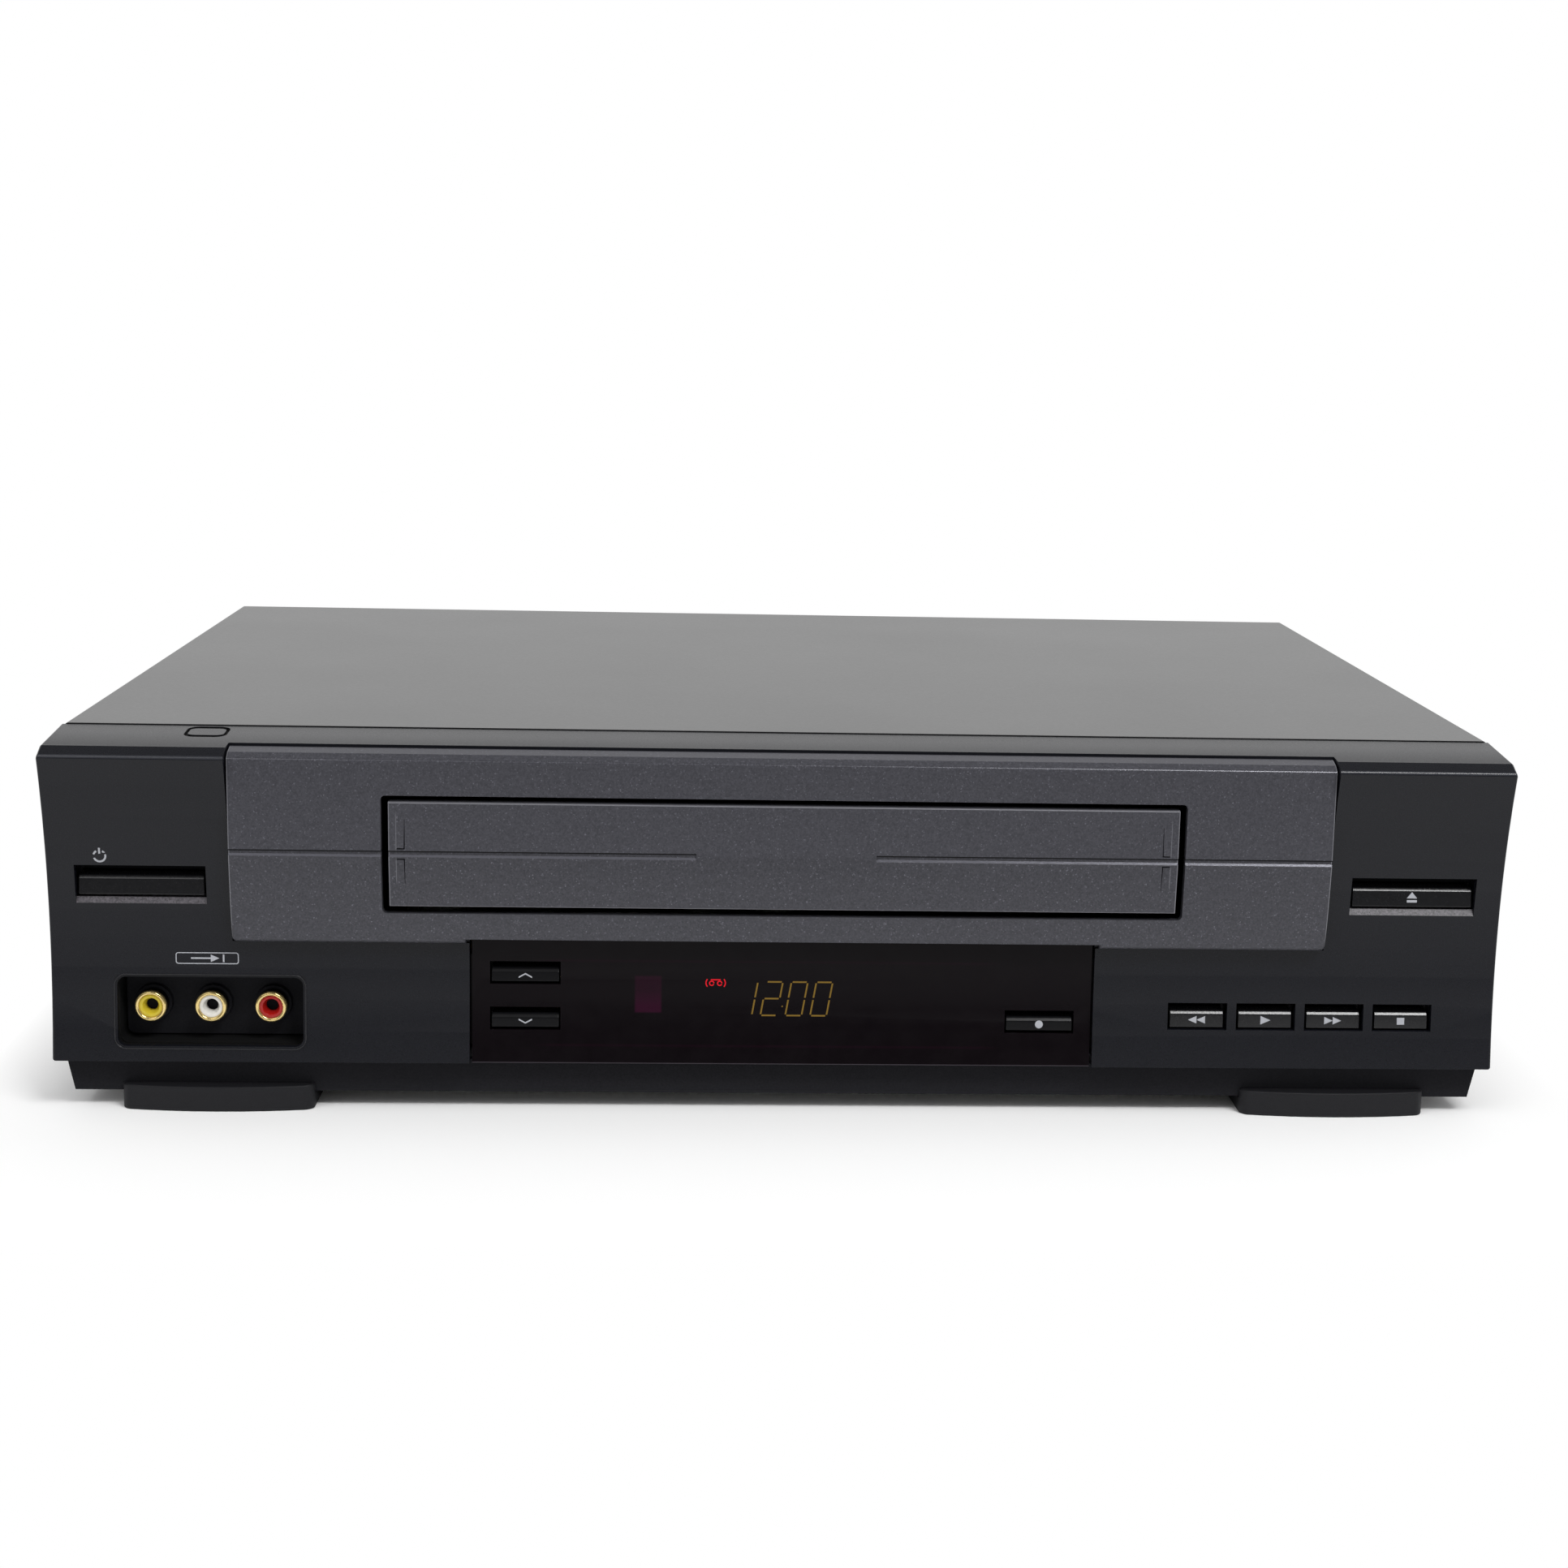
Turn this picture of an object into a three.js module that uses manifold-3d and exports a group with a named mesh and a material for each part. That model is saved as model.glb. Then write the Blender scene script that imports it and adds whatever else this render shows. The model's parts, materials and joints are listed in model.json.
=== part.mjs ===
// Front-loading video cassette recorder, in millimetres, z up.
// Sizes are measured from the seam between bezel and cover (y = 0), the floor (z = 0)
// and the centre (x = 0).
import * as THREE from 'three';
import { mergeVertices } from 'three/addons/utils/BufferGeometryUtils.js';
import Module from 'manifold-3d';

const wasm = await Module();
wasm.setup();

// Fits that every piece shares
const gap = 0.3; // between pieces that rest on or face each other
const overrun = 1; // how far a cutting body passes the faces that it cuts
const weldDistance = 1e-3; // vertices closer than this are one

// Bezel: a shell whose front is a shallow concave arc
const bezel = {
  width: 380, bottom: 13.6, seamDrop: 0.3, topFall: 1.9, chamferDepth: 4.3, chamferHeight: 2,
  wall: 2.5, arcRadius: 184, arcY: -17.8, arcZ: 41,
};
// Seat for the centre panel, open through the bezel's top edge
const seat = { sideGap: 0.45, backY: -16.9, wall: 2.5, bottom: 45.6 };
// Centre panel around the cassette door
const panel = {
  widthShare: 0.75184, bottom: 46.2, skin: 2.5, faceY: -23.7, lowerFaceY: -21.3, grooveZ: 69.6,
  grooveHeight: 1.7, grooveDepth: 0.5, headroom: 10.5, topFrontY: -21.6, topFrontRise: 1.6,
  topBackY: -18.3, topBackRise: 2.7, corner: 2.5, windowNotch: 2,
};
// Cassette door, hinged above its top edge
const door = {
  width: 203.8, lift: 1.2, headroom: 4.1, sideGap: 1.65, lowGap: 1.5, topGap: 1.1, thickness: 2.4,
  grooveBreak: 46.6, hingeY: -18.2, hingeRise: 4.9, hubRadius: 2.4, pinRadius: 1.2, earThickness: 2,
  earDrop: 8, earRoot: 2.8,
};
const hingeEar = { gap: 2, thickness: 2.5, reach: 3.4, rise: 3.3 };
// Smoked window over the display, in a notch of the bezel's lower edge
const windowPlate = {
  widthShare: 0.42947, top: 47.6, sideGap: 0.6, topGap: 0.5, inset: 0.8, thickness: 2.2, lipReach: 4.4,
  lipThickness: 1.2, lipBottom: 18, lipTop: 42,
};
// Pockets behind the keys, and the keys in them
const pocket = { wall: 1.8, floorY: -12, floorThickness: 1.2, holeGap: 0.35 };
const key = { inset: 0.8, topRound: 1.1, flangeReach: 1.2, flangeThickness: 1, travel: 1.5 };
const sideKey = {
  widthShare: 0.08421, height: 5.2, sideGap: 0.7, sill: 2, head: 2.8, xShare: 0.43737, z: 55.8,
};
const tapeKey = {
  widthShare: 0.037895, height: 4.7, sideGap: 0.75, sill: 0.4, head: 2.2, firstXShare: 0.29,
  pitchShare: 0.048368, z: 23.7,
};
const windowKey = {
  widthShare: 0.107843, height: 3.6, sideGap: 0.4, sill: 0.7, head: 1.8, channelXShare: -0.41513,
  recordXShare: 0.41667, upZ: 34.5, downZ: 22.3,
};
const ledge = { height: 1.6, backY: -14.4 };
// Front input sockets in their own pocket
const jackPocket = { sideInset: 40.75, endRoom: 8.35, bottom: 17.6, top: 35.9, corner: 2.3, floorY: -8.6 };
const jack = {
  pitch: 15.6, offsetX: -0.75, z: 26.9, shellFrontY: -14.5, shellLength: 4, shellRadius: 4.15, shellBore: 3.3,
  insertBore: 1.6, insertInset: 0.7, collarRadius: 4.9, collarLength: 1.6, lip: 0.5,
};
const frontJackBlock = { depth: 9 };
// Circuit board and display behind the bezel
const frontBoard = {
  frontY: -5.6, thickness: 1.6, jackGap: 7.3, sideInset: 4, bottom: 18, middleTop: 50, endTop: 69,
  leftBottom: 42, chassisGap: 8.5, switchSize: 5, bossRadius: 2.5, bossInset: 5,
};
const displayTube = {
  xShare: -0.02451, widthShare: 0.46569, bottom: 25, height: 14.5, frontY: -13.6, depth: 4.4,
  footShare: 0.36765, footHeight: 5,
};

// Cover, base frame, bottom plate and rear panel
const cover = { inset: 1, headroom: 2, drumRoom: 28, sheet: 1, corner: 3 };
const base = {
  bottom: 4.3, frontY: -14.6, backInset: 4, topInset: 2.4, bottomInset: 4.4, wall: 2.4,
  ledgeWidth: 5, ledgeThickness: 0.9, rimTop: 24, rimThickness: 2.8, rimStartY: 3, rimInset: 8,
};
const bottomPlate = {
  thickness: 1.2, ventWidth: 4, ventLength: 60, ventPitch: 12, ventCount: 6, ventX: 60, ventY: 70,
};
const rearPanel = {
  inset: 8, thickness: 1.2, ventWidth: 3, ventHeight: 26, ventPitch: 8, ventCount: 8, ventX: -60,
};
const frontFoot = { sideInset: 13.3, width: 49.8, frontY: -20, bow: 2.3, backY: 14, height: 6.7 };
const rearFoot = { backInset: 38, radius: 11, bevel: 1 };

// Deck: a steel chassis on four posts
const deckPost = { x: 96, frontY: 52, backInset: 8, radius: 4 };
const boardPost = { radius: 2.5, inset: 5 };
const chassis = {
  bottom: 26.4, sheet: 1.2, frontY: 40, backInset: 6, wallFrontY: 20, wallBackY: 160, wallRise: 2.7,
  wallGap: 2.1, axleRadius: 2, axleTop: 36, axleBore: 2.3,
};
const reel = {
  x: 46.25, y: 113, gearRadius: 20, gearThickness: 4, hubRadius: 9, hubTop: 40, bevel: 2,
  footRadius: 4.5, ribCount: 3, ribWidth: 2, ribReach: 1.2,
};
const clutch = { y: 96, gearRadius: 10, gearThickness: 3, shaftRadius: 2.5, armGap: 0.4, hubRise: 1.6 };
const idler = { radius: 14, thickness: 2.6, mesh: 0.3, pinRadius: 1.6, armWidth: 9, armThickness: 1 };
const capstan = {
  x: 58, y: 172, shaftRadius: 1.5, shaftTop: 56, flywheelRadius: 28, flywheelBottom: 14.5,
  flywheelThickness: 5,
  bearingRadius: 6, bearingTop: 31.2, statorRadius: 36.5, statorBottom: 9.5, statorThickness: 1.6,
  coreRadius: 10,
  postRadius: 2.5, postCircle: 33, postAngle: 60, postCount: 3,
};
const pulley = {
  flange: 0.7, groove: 3.4, capstanRadius: 7.4, clutchRadius: 12, rim: 1.2, beltThickness: 1.6,
  beltWidth: 2.4, headroom: 1.8,
};
const drum = {
  y: 199, radius: 31, tilt: 6, lowerHeight: 19.5, split: 0.3, upperHeight: 16, capRadius: 22, capHeight: 5,
  bevel: 0.6, skirt: 6,
};
const pinch = {
  armX: 84, armY: 178, rollerX: 68, rollerY: 186, rollerRadius: 7.5, rollerBottom: 34, rollerHeight: 16,
  pinRadius: 2, hubRadius: 5, armWidth: 8, armThickness: 2,
};
const guide = {
  x: 34, y: 152, endX: 44, endY: 206, postRadius: 3.2, postTop: 52, baseWidth: 14, baseDepth: 16,
  baseHeight: 4, neckRadius: 2.4, neckGap: 0.5, neckDrop: 1.9, flange: 0.8,
};
const tension = {
  x: -74, y: 146, length: 22, angle: 30, hubRadius: 5, armWidth: 6, armThickness: 2, postRadius: 1.8,
  postTop: 50,
};
const eraseHead = { x: -54, y: 172, width: 8, depth: 7, top: 50 };
const audioHead = { x: 54, y: 185, width: 8, depth: 8, top: 50 };
const camGear = {
  x: -80, y: 191, radius: 20, thickness: 4.8, teeth: 24, toothDepth: 1.4, rootShare: 0.3,
  riseShare: 0.45, crestShare: 0.8,
};
const loadingMotor = {
  y: 226, radius: 10, leftX: -98, rightX: -72, wormRadius: 3, wormEndX: -60, cradleDepth: 14,
  cradleHeight: 6,
};
const endLamp = { y: 141, radius: 2.2, top: 48 };

// Cassette carriage: a slider that runs back, and a holder that then sinks in it
const cassette = { width: 188, depth: 104, height: 25 };
const holder = {
  frontY: 16, backY: 106, stopReach: 4, floorZ: 55.2, sheet: 1, side: 1, head: 1.1,
  railWidth: 12, stopWidth: 15,
  stopThickness: 1.5,
  pinRadius: 1.5, pinZ: 68, pinInset: 22, windowInset: 16,
};
const slider = {
  gap: 2.2, sheet: 1.2, frontY: 20, backY: 100, bottom: 42, rise: 2.2, barFrontY: 55, barDepth: 15,
  pinInset: 10,
  pinZ: 78, slotGap: 0.3, travel: 60, drop: 22,
};

// Power supply on the left, signal boards and sockets on the right and rear
const boardPlace = { sideInset: 8, chassisGap: 6.5, backInset: 6, bottom: 14, thickness: 1.6 };
const mainBoard = { ...boardPlace, frontY: 8 };
const powerBoard = { ...boardPlace, frontY: 70 };
const mainBoardChip = { width: 22, depth: 16, height: 3.2, inset: 22, firstY: 40, pitch: 42, count: 3 };
const transformer = {
  y: 118, width: 44, depth: 32, height: 34, coilWidth: 32, coilDepth: 38, coilHeight: 20,
};
const capacitor = { inset: 20, y: 150, radius: 11, height: 32, bevel: 1.2 };
const heatSink = {
  sideInset: 14, y: 186, width: 12, depth: 46, height: 40, spine: 2.4, fin: 1.6, finCount: 6,
};
const tuner = {
  widthShare: 0.43243, inset: 4, depth: 50, height: 44, socketRadius: 4.6, socketBore: 1.4,
  socketPitchShare: 0.5, socketZ: 46, reach: 13, nutRadius: 6.2, nutLength: 2.5,
};
const rearJacks = {
  widthShare: 0.43243, depth: 12, height: 46, columns: 2, rows: 3, columnPitchShare: 0.45313,
  rowPitch: 14.5,
  firstZ: 23.5, barrelRadius: 4.3, barrelBore: 1.7, boreDepth: 7, reach: 9,
};
const bush = {
  sideInset: 32, z: 30, flangeRadius: 7.5, innerFlangeRadius: 6.5, flangeLength: 3, neckRadius: 4.7,
  bore: 2.8,
};

const finishes = {
  charcoalPlastic: { color: 0x2c2d30, roughness: 0.45, metalness: 0 },
  metallicGreyPlastic: { color: 0x4b4b52, roughness: 0.4, metalness: 0.35 },
  paintedSteel: { color: 0x3b3b3f, roughness: 0.5, metalness: 0.1 },
  blackPlastic: { color: 0x161618, roughness: 0.4, metalness: 0 },
  keyPlastic: { color: 0x1c1c20, roughness: 0.3, metalness: 0.1 },
  smokedPlastic: { color: 0x120c10, roughness: 0.08, metalness: 0 },
  rubber: { color: 0x1b1b1d, roughness: 0.8, metalness: 0 },
  zincSteel: { color: 0xa3a49f, roughness: 0.4, metalness: 0.9 },
  aluminium: { color: 0xb9bcc0, roughness: 0.25, metalness: 1 },
  whitePlastic: { color: 0xdcdad2, roughness: 0.5, metalness: 0 },
  boardBrown: { color: 0x8a6a3a, roughness: 0.6, metalness: 0 },
  glass: { color: 0x1d2524, roughness: 0.1, metalness: 0 },
  gold: { color: 0xd6b25e, roughness: 0.25, metalness: 1 },
  yellow: { color: 0xc9b13a, roughness: 0.45, metalness: 0 },
  white: { color: 0xe4e2dc, roughness: 0.45, metalness: 0 },
  red: { color: 0x9c1512, roughness: 0.45, metalness: 0 },
  copper: { color: 0x9a5a2c, roughness: 0.45, metalness: 0.6 },
};

// Places that follow from the sizes above
const bezelHalf = bezel.width / 2;
const coverHalf = bezelHalf - cover.inset;
const panelHalf = bezelHalf * panel.widthShare;
const doorHalf = door.width / 2;
const doorwayHalf = doorHalf + door.sideGap;
const windowHalf = bezelHalf * windowPlate.widthShare;
const windowWidth = windowHalf * 2;
const doorBottom = holder.floorZ + door.lift;
const doorTop = holder.floorZ + cassette.height + door.headroom;
const hingeZ = doorTop + door.hingeRise;
const panelEdgeZ = doorTop + panel.headroom;
const panelTopZ = panelEdgeZ + panel.topBackRise;
const coverTop = panelTopZ + cover.headroom;
const seamHeight = coverTop - bezel.seamDrop;
const bezelEdgeZ = seamHeight - bezel.topFall - bezel.chamferHeight;
const baseTopHalf = bezelHalf - base.topInset;
const baseBottomHalf = bezelHalf - base.bottomInset;
const footX = baseBottomHalf - frontFoot.sideInset - frontFoot.width / 2;
const jackPocketX = jackPocket.sideInset - bezelHalf;
const jackPocketWidth = jack.pitch * 2 + jackPocket.endRoom * 2;
const jackMiddleX = jackPocketX + jack.offsetX;
const coverDepth = drum.y + drum.radius + cover.drumRoom;
const rearPanelY = coverDepth - rearPanel.inset;
const baseBackY = coverDepth - base.backInset;
const chassisBackY = rearPanelY - chassis.backInset;
const plateBottom = base.bottom + base.ledgeThickness + gap;
const plateTop = plateBottom + bottomPlate.thickness;
const baseTop = bezel.bottom - gap;
const deckTop = chassis.bottom + chassis.sheet;
const onDeck = deckTop + gap;
const pulleyTop = chassis.bottom - pulley.headroom;
const pocketBackY = pocket.floorY + pocket.floorThickness;
const keyBackY = pocketBackY + gap + key.flangeThickness;
const holderHalf = cassette.width / 2 + holder.side;
const holderTop = holder.floorZ + cassette.height + holder.head;
const sliderHalf = holderHalf + holder.sheet + slider.gap;
const chassisHalf = sliderHalf + slider.sheet + chassis.wallGap;
const boardInnerX = chassisHalf + boardPlace.chassisGap;
const boardOuterX = bezelHalf - boardPlace.sideInset;
const boardWidth = boardOuterX - boardInnerX;
const boardMiddleX = (boardInnerX + boardOuterX) / 2;
const boardBackY = rearPanelY - boardPlace.backInset;
const tunerWidth = boardWidth * tuner.widthShare;
const tunerX = boardInnerX + tuner.inset + tunerWidth / 2;
const rearJacksWidth = boardWidth * rearJacks.widthShare;
const rearJacksX = boardOuterX - rearJacksWidth / 2;
const lowBoardX = jackPocketX + jackPocketWidth / 2 + frontBoard.jackGap;
const frontBoardHalf = bezelHalf - frontBoard.sideInset;
const bushX = bush.sideInset - boardOuterX;
const frontBoardRightX = chassisHalf + frontBoard.chassisGap;
sideKey.width = bezel.width * sideKey.widthShare;
tapeKey.width = bezel.width * tapeKey.widthShare;
windowKey.width = windowWidth * windowKey.widthShare;
const rearmostY = rearPanelY + tuner.reach;

// Shapes

function solid(geometry) {
  const bare = geometry.clone();
  bare.deleteAttribute('normal');
  bare.deleteAttribute('uv');
  const welded = mergeVertices(bare, weldDistance);
  const vertProperties = new Float32Array(welded.attributes.position.array);
  const triVerts = new Uint32Array(welded.index.array);
  return new wasm.Manifold(new wasm.Mesh({ numProp: 3, vertProperties, triVerts }));
}

// A block between [low, high] pairs along x, y and z
function block(x, y, z) {
  const geometry = new THREE.BoxGeometry(x[1] - x[0], y[1] - y[0], z[1] - z[0]);
  return solid(geometry.translate((x[0] + x[1]) / 2, (y[0] + y[1]) / 2, (z[0] + z[1]) / 2));
}

// Extrudes an outline drawn in two of the axes along the third
function extrude(shape, span, basis, curveSegments = 8) {
  const depth = span[1] - span[0];
  const geometry = new THREE.ExtrudeGeometry(shape, { depth, bevelEnabled: false, curveSegments });
  geometry.translate(0, 0, span[0]);
  return solid(geometry.applyMatrix4(basis));
}

const axisX = new THREE.Vector3(1, 0, 0);
const axisY = new THREE.Vector3(0, 1, 0);
const axisZ = new THREE.Vector3(0, 0, 1);
const upright = new THREE.Matrix4().makeBasis(axisX, axisY, axisZ);
const alongX = new THREE.Matrix4().makeBasis(axisY, axisZ, axisX);
const alongY = new THREE.Matrix4().makeBasis(axisX, axisZ, axisY.clone().negate());

// Outline in x and y, standing on z
const extrudeUp = (shape, z, curves) => extrude(shape, z, upright, curves);
// Outline in y and z, run along x
const extrudeAlongX = (shape, x, curves) => extrude(shape, x, alongX, curves);
// Outline in x and z, run along y
const extrudeAlongY = (shape, y, curves) => extrude(shape, [-y[1], -y[0]], alongY, curves);

function outline(points) {
  return new THREE.Shape(points.map(([a, b]) => new THREE.Vector2(a, b)));
}

function roundedRectangle(a, b, radius) {
  const shape = new THREE.Shape();
  shape.moveTo(a[0] + radius, b[0]);
  shape.lineTo(a[1] - radius, b[0]);
  shape.absarc(a[1] - radius, b[0] + radius, radius, -Math.PI / 2, 0);
  shape.lineTo(a[1], b[1] - radius);
  shape.absarc(a[1] - radius, b[1] - radius, radius, 0, Math.PI / 2);
  shape.lineTo(a[0] + radius, b[1]);
  shape.absarc(a[0] + radius, b[1] - radius, radius, Math.PI / 2, Math.PI);
  shape.lineTo(a[0], b[0] + radius);
  shape.absarc(a[0] + radius, b[0] + radius, radius, Math.PI, Math.PI * 1.5);
  return shape;
}

// Two circles wrapped by a taut line, as a belt's outline or a lever's
function wrapped(from, fromRadius, to, toRadius) {
  const heading = Math.atan2(to[1] - from[1], to[0] - from[0]);
  const distance = Math.hypot(to[0] - from[0], to[1] - from[1]);
  const spread = Math.acos((fromRadius - toRadius) / distance);
  const shape = new THREE.Shape();
  shape.absarc(to[0], to[1], toRadius, heading - spread, heading + spread, false);
  shape.absarc(from[0], from[1], fromRadius, heading + spread, heading - spread + Math.PI * 2, false);
  return shape;
}

// Turns a profile of [radius, height] points about a line through (x, y)
function turned(profile, x, y, segments = 20) {
  const geometry = new THREE.LatheGeometry(profile.map(([r, h]) => new THREE.Vector2(r, h)), segments);
  geometry.rotateX(Math.PI / 2);
  return solid(geometry.translate(x, y, 0));
}

// The same, turned about a line that runs back through (x, z)
function turnedAlongY(profile, x, z, segments = 20) {
  const geometry = new THREE.LatheGeometry(profile.map(([r, h]) => new THREE.Vector2(r, h)), segments);
  return solid(geometry.translate(x, 0, z));
}

function rod(radius, x, y, z, segments = 12) {
  return turned([[0, z[0]], [radius, z[0]], [radius, z[1]], [0, z[1]]], x, y, segments);
}

function rodAlongY(radius, x, z, y, segments = 14) {
  return turnedAlongY([[0, y[0]], [radius, y[0]], [radius, y[1]], [0, y[1]]], x, z, segments);
}

function rodAlongX(radius, y, z, x, segments = 12) {
  const profile = [[0, x[0]], [radius, x[0]], [radius, x[1]], [0, x[1]]];
  const geometry = new THREE.LatheGeometry(profile.map(([r, h]) => new THREE.Vector2(r, h)), segments);
  geometry.rotateZ(-Math.PI / 2);
  return solid(geometry.translate(0, y, z));
}

// A ring, from its bore to its rim, between two heights
function ringProfile(bore, rim, low, high) {
  return [[bore, low], [rim, low], [rim, high], [bore, high], [bore, low]];
}

const both = (half) => [-half, half];
const between = (a, b) => (a < b ? [a, b] : [b, a]);
const widened = (range, by) => [range[0] - by, range[1] + by];
const around = (centre, size) => [centre - size / 2, centre + size / 2];
const from = (low, size) => [low, low + size];

// The bezel's front, as depth at a height
function arcFaceY(z) {
  const rise = z - bezel.arcZ;
  return bezel.arcY - bezel.arcRadius + Math.sqrt(bezel.arcRadius ** 2 - rise ** 2);
}

// Points down the arc face, from one height to another, moved back by an inset
function arcPoints(top, bottom, inset, count = 10) {
  const points = [];
  for (let i = 0; i <= count; i += 1) {
    const z = top + ((bottom - top) * i) / count;
    points.push([arcFaceY(z) + inset, z]);
  }
  return points;
}

// The panel's front: upright above the groove, falling back below it
function panelFaceY(z) {
  const share = Math.max(0, (panel.grooveZ - z) / (panel.grooveZ - panel.bottom));
  return panel.faceY + (panel.lowerFaceY - panel.faceY) * share;
}

// The assembly: one group, moved so that the origin is the middle of its footprint
const recorder = new THREE.Group();
recorder.position.y = -(arcFaceY(bezelEdgeZ) + rearmostY) / 2;

function piece(name, finish, body, parent = recorder) {
  const mesh = body.getMesh();
  const geometry = new THREE.BufferGeometry();
  geometry.setAttribute('position', new THREE.BufferAttribute(new Float32Array(mesh.vertProperties), 3));
  geometry.setIndex(new THREE.BufferAttribute(new Uint32Array(mesh.triVerts), 1));
  geometry.computeVertexNormals();
  const node = new THREE.Mesh(geometry, new THREE.MeshStandardMaterial(finish));
  node.name = name;
  parent.add(node);
  return node;
}

// Keys and the pockets that hold them
// Each key is built about the middle of its front's lower edge

const frontKeys = [
  { name: 'power_button', style: sideKey, x: -bezel.width * sideKey.xShare, z: sideKey.z, host: 'bezel' },
  { name: 'eject_button', style: sideKey, x: bezel.width * sideKey.xShare, z: sideKey.z, host: 'bezel' },
  ...['rew', 'play', 'ff', 'stop'].map((label, i) => ({
    name: `${label}_button`,
    style: tapeKey,
    x: bezel.width * (tapeKey.firstXShare + tapeKey.pitchShare * i),
    z: tapeKey.z,
    host: 'bezel',
  })),
  ...[
    ['channel_up', windowKey.channelXShare, windowKey.upZ],
    ['channel_down', windowKey.channelXShare, windowKey.downZ],
    ['rec', windowKey.recordXShare, windowKey.downZ],
  ].map(([label, xShare, z]) => ({
    name: `${label}_button`, style: windowKey, x: windowWidth * xShare, z, host: 'window',
  })),
];

const openingHeight = (style) => style.sill + style.height + style.head;
const openingWidth = (style) => style.width + style.sideGap * 2;
const keyFrontY = (item) => arcFaceY(item.z + item.style.sill + item.style.height / 2) + key.inset;

function keyPocket(item) {
  const { style, x, z } = item;
  const xs = around(x, openingWidth(style));
  const zs = from(z, openingHeight(style));
  const tray = block(widened(xs, pocket.wall), [bezel.arcY + bezel.wall - gap, pocketBackY],
    widened(zs, pocket.wall));
  const keyWay = block(widened(around(x, style.width), pocket.holeGap), [bezel.arcY, pocketBackY + overrun],
    widened(from(z + style.sill, style.height), pocket.holeGap));
  const cut = block(xs, [arcFaceY(bezelEdgeZ), pocket.floorY], zs).add(keyWay);
  return { tray, cut };
}

function keyBody(item) {
  const { style } = item;
  const front = keyFrontY(item);
  const profile = outline([
    [0, 0], [keyBackY - front, 0], [keyBackY - front, style.height], [key.topRound, style.height],
    [key.topRound * (1 - Math.SQRT1_2), style.height - key.topRound * (1 - Math.SQRT1_2)],
    [0, style.height - key.topRound],
  ]);
  const bar = extrudeAlongX(profile, around(0, style.width));
  const flange = block(around(0, style.width + (pocket.holeGap + key.flangeReach) * 2),
    [keyBackY - front - key.flangeThickness, keyBackY - front], [0, style.height]);
  return bar.add(flange);
}

function addKeys() {
  for (const item of frontKeys) {
    const node = piece(item.name, finishes.keyPlastic, keyBody(item));
    node.position.set(item.x, keyFrontY(item), item.z + item.style.sill);
  }
}

// Casing

function bezelProfile(inset) {
  const top = seamHeight - inset;
  const frontZ = top - bezel.topFall;
  const edgeZ = frontZ - bezel.chamferHeight;
  const back = inset === 0 ? 0 : overrun;
  return outline([
    [back, top], [arcFaceY(bezelEdgeZ) + bezel.chamferDepth + inset, frontZ],
    ...arcPoints(edgeZ, bezel.bottom + inset, inset), [back, bezel.bottom + inset],
  ]);
}

function bezelShell() {
  const outer = extrudeAlongX(bezelProfile(0), both(bezelHalf));
  const inner = extrudeAlongX(bezelProfile(bezel.wall), both(bezelHalf - bezel.wall));
  return outer.subtract(inner);
}

// The wall behind the centre panel, with the sides and floor of the seat
function panelSeat() {
  const half = panelHalf + seat.sideGap;
  const inside = extrudeAlongX(bezelProfile(0), both(half + seat.wall));
  const body = block(both(half + seat.wall), [arcFaceY(bezelEdgeZ), seat.backY + seat.wall],
    [seat.bottom - seat.wall, seamHeight]);
  return body.intersect(inside);
}

function bossAt(x, z) {
  return rodAlongY(frontBoard.bossRadius, x, z, [bezel.arcY + bezel.wall / 2, frontBoard.frontY - gap], 8);
}

const boardBosses = [
  [-frontBoardHalf + frontBoard.bossInset * 2, frontBoard.leftBottom + frontBoard.bossInset],
  [lowBoardX + frontBoard.bossInset, frontBoard.leftBottom],
  [windowHalf + frontBoard.bossInset * 2, frontBoard.leftBottom],
  [frontBoardHalf - frontBoard.bossInset, frontBoard.leftBottom + frontBoard.bossInset],
];

const jackPlaces = [-1, 0, 1].map((i) => jackMiddleX + jack.pitch * i);
const bezelKeyPockets = frontKeys.filter((item) => item.host === 'bezel').map(keyPocket);
const windowKeyPockets = frontKeys.filter((item) => item.host === 'window').map(keyPocket);
const frontmost = arcFaceY(bezelEdgeZ) - overrun;

function addAll(body, others) {
  return others.reduce((sum, other) => sum.add(other), body);
}

function subtractAll(body, others) {
  return others.reduce((rest, other) => rest.subtract(other), body);
}

// The raised step inside each side key's pocket, and the ledge that it slopes down to
function keyLedges() {
  const slope = outline([
    [arcFaceY(sideKey.z), sideKey.z], [ledge.backY, sideKey.z], [ledge.backY, sideKey.z + ledge.height],
  ]);
  const x = bezel.width * sideKey.xShare;
  return [-x, x].map((middle) => extrudeAlongX(slope, around(middle, openingWidth(sideKey))));
}

function jackTray() {
  return block(widened(around(jackPocketX, jackPocketWidth), pocket.wall),
    [bezel.arcY + bezel.wall - gap, jackPocket.floorY + pocket.floorThickness],
    [bezel.bottom, jackPocket.top + pocket.wall]);
}

// The recess for the front sockets, open at the back, where their block closes it
function jackOpening() {
  const mouth = roundedRectangle(around(jackPocketX, jackPocketWidth), [jackPocket.bottom, jackPocket.top],
    jackPocket.corner);
  return extrudeAlongY(mouth, [frontmost, jackPocket.floorY + pocket.floorThickness + overrun], 4);
}

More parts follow.
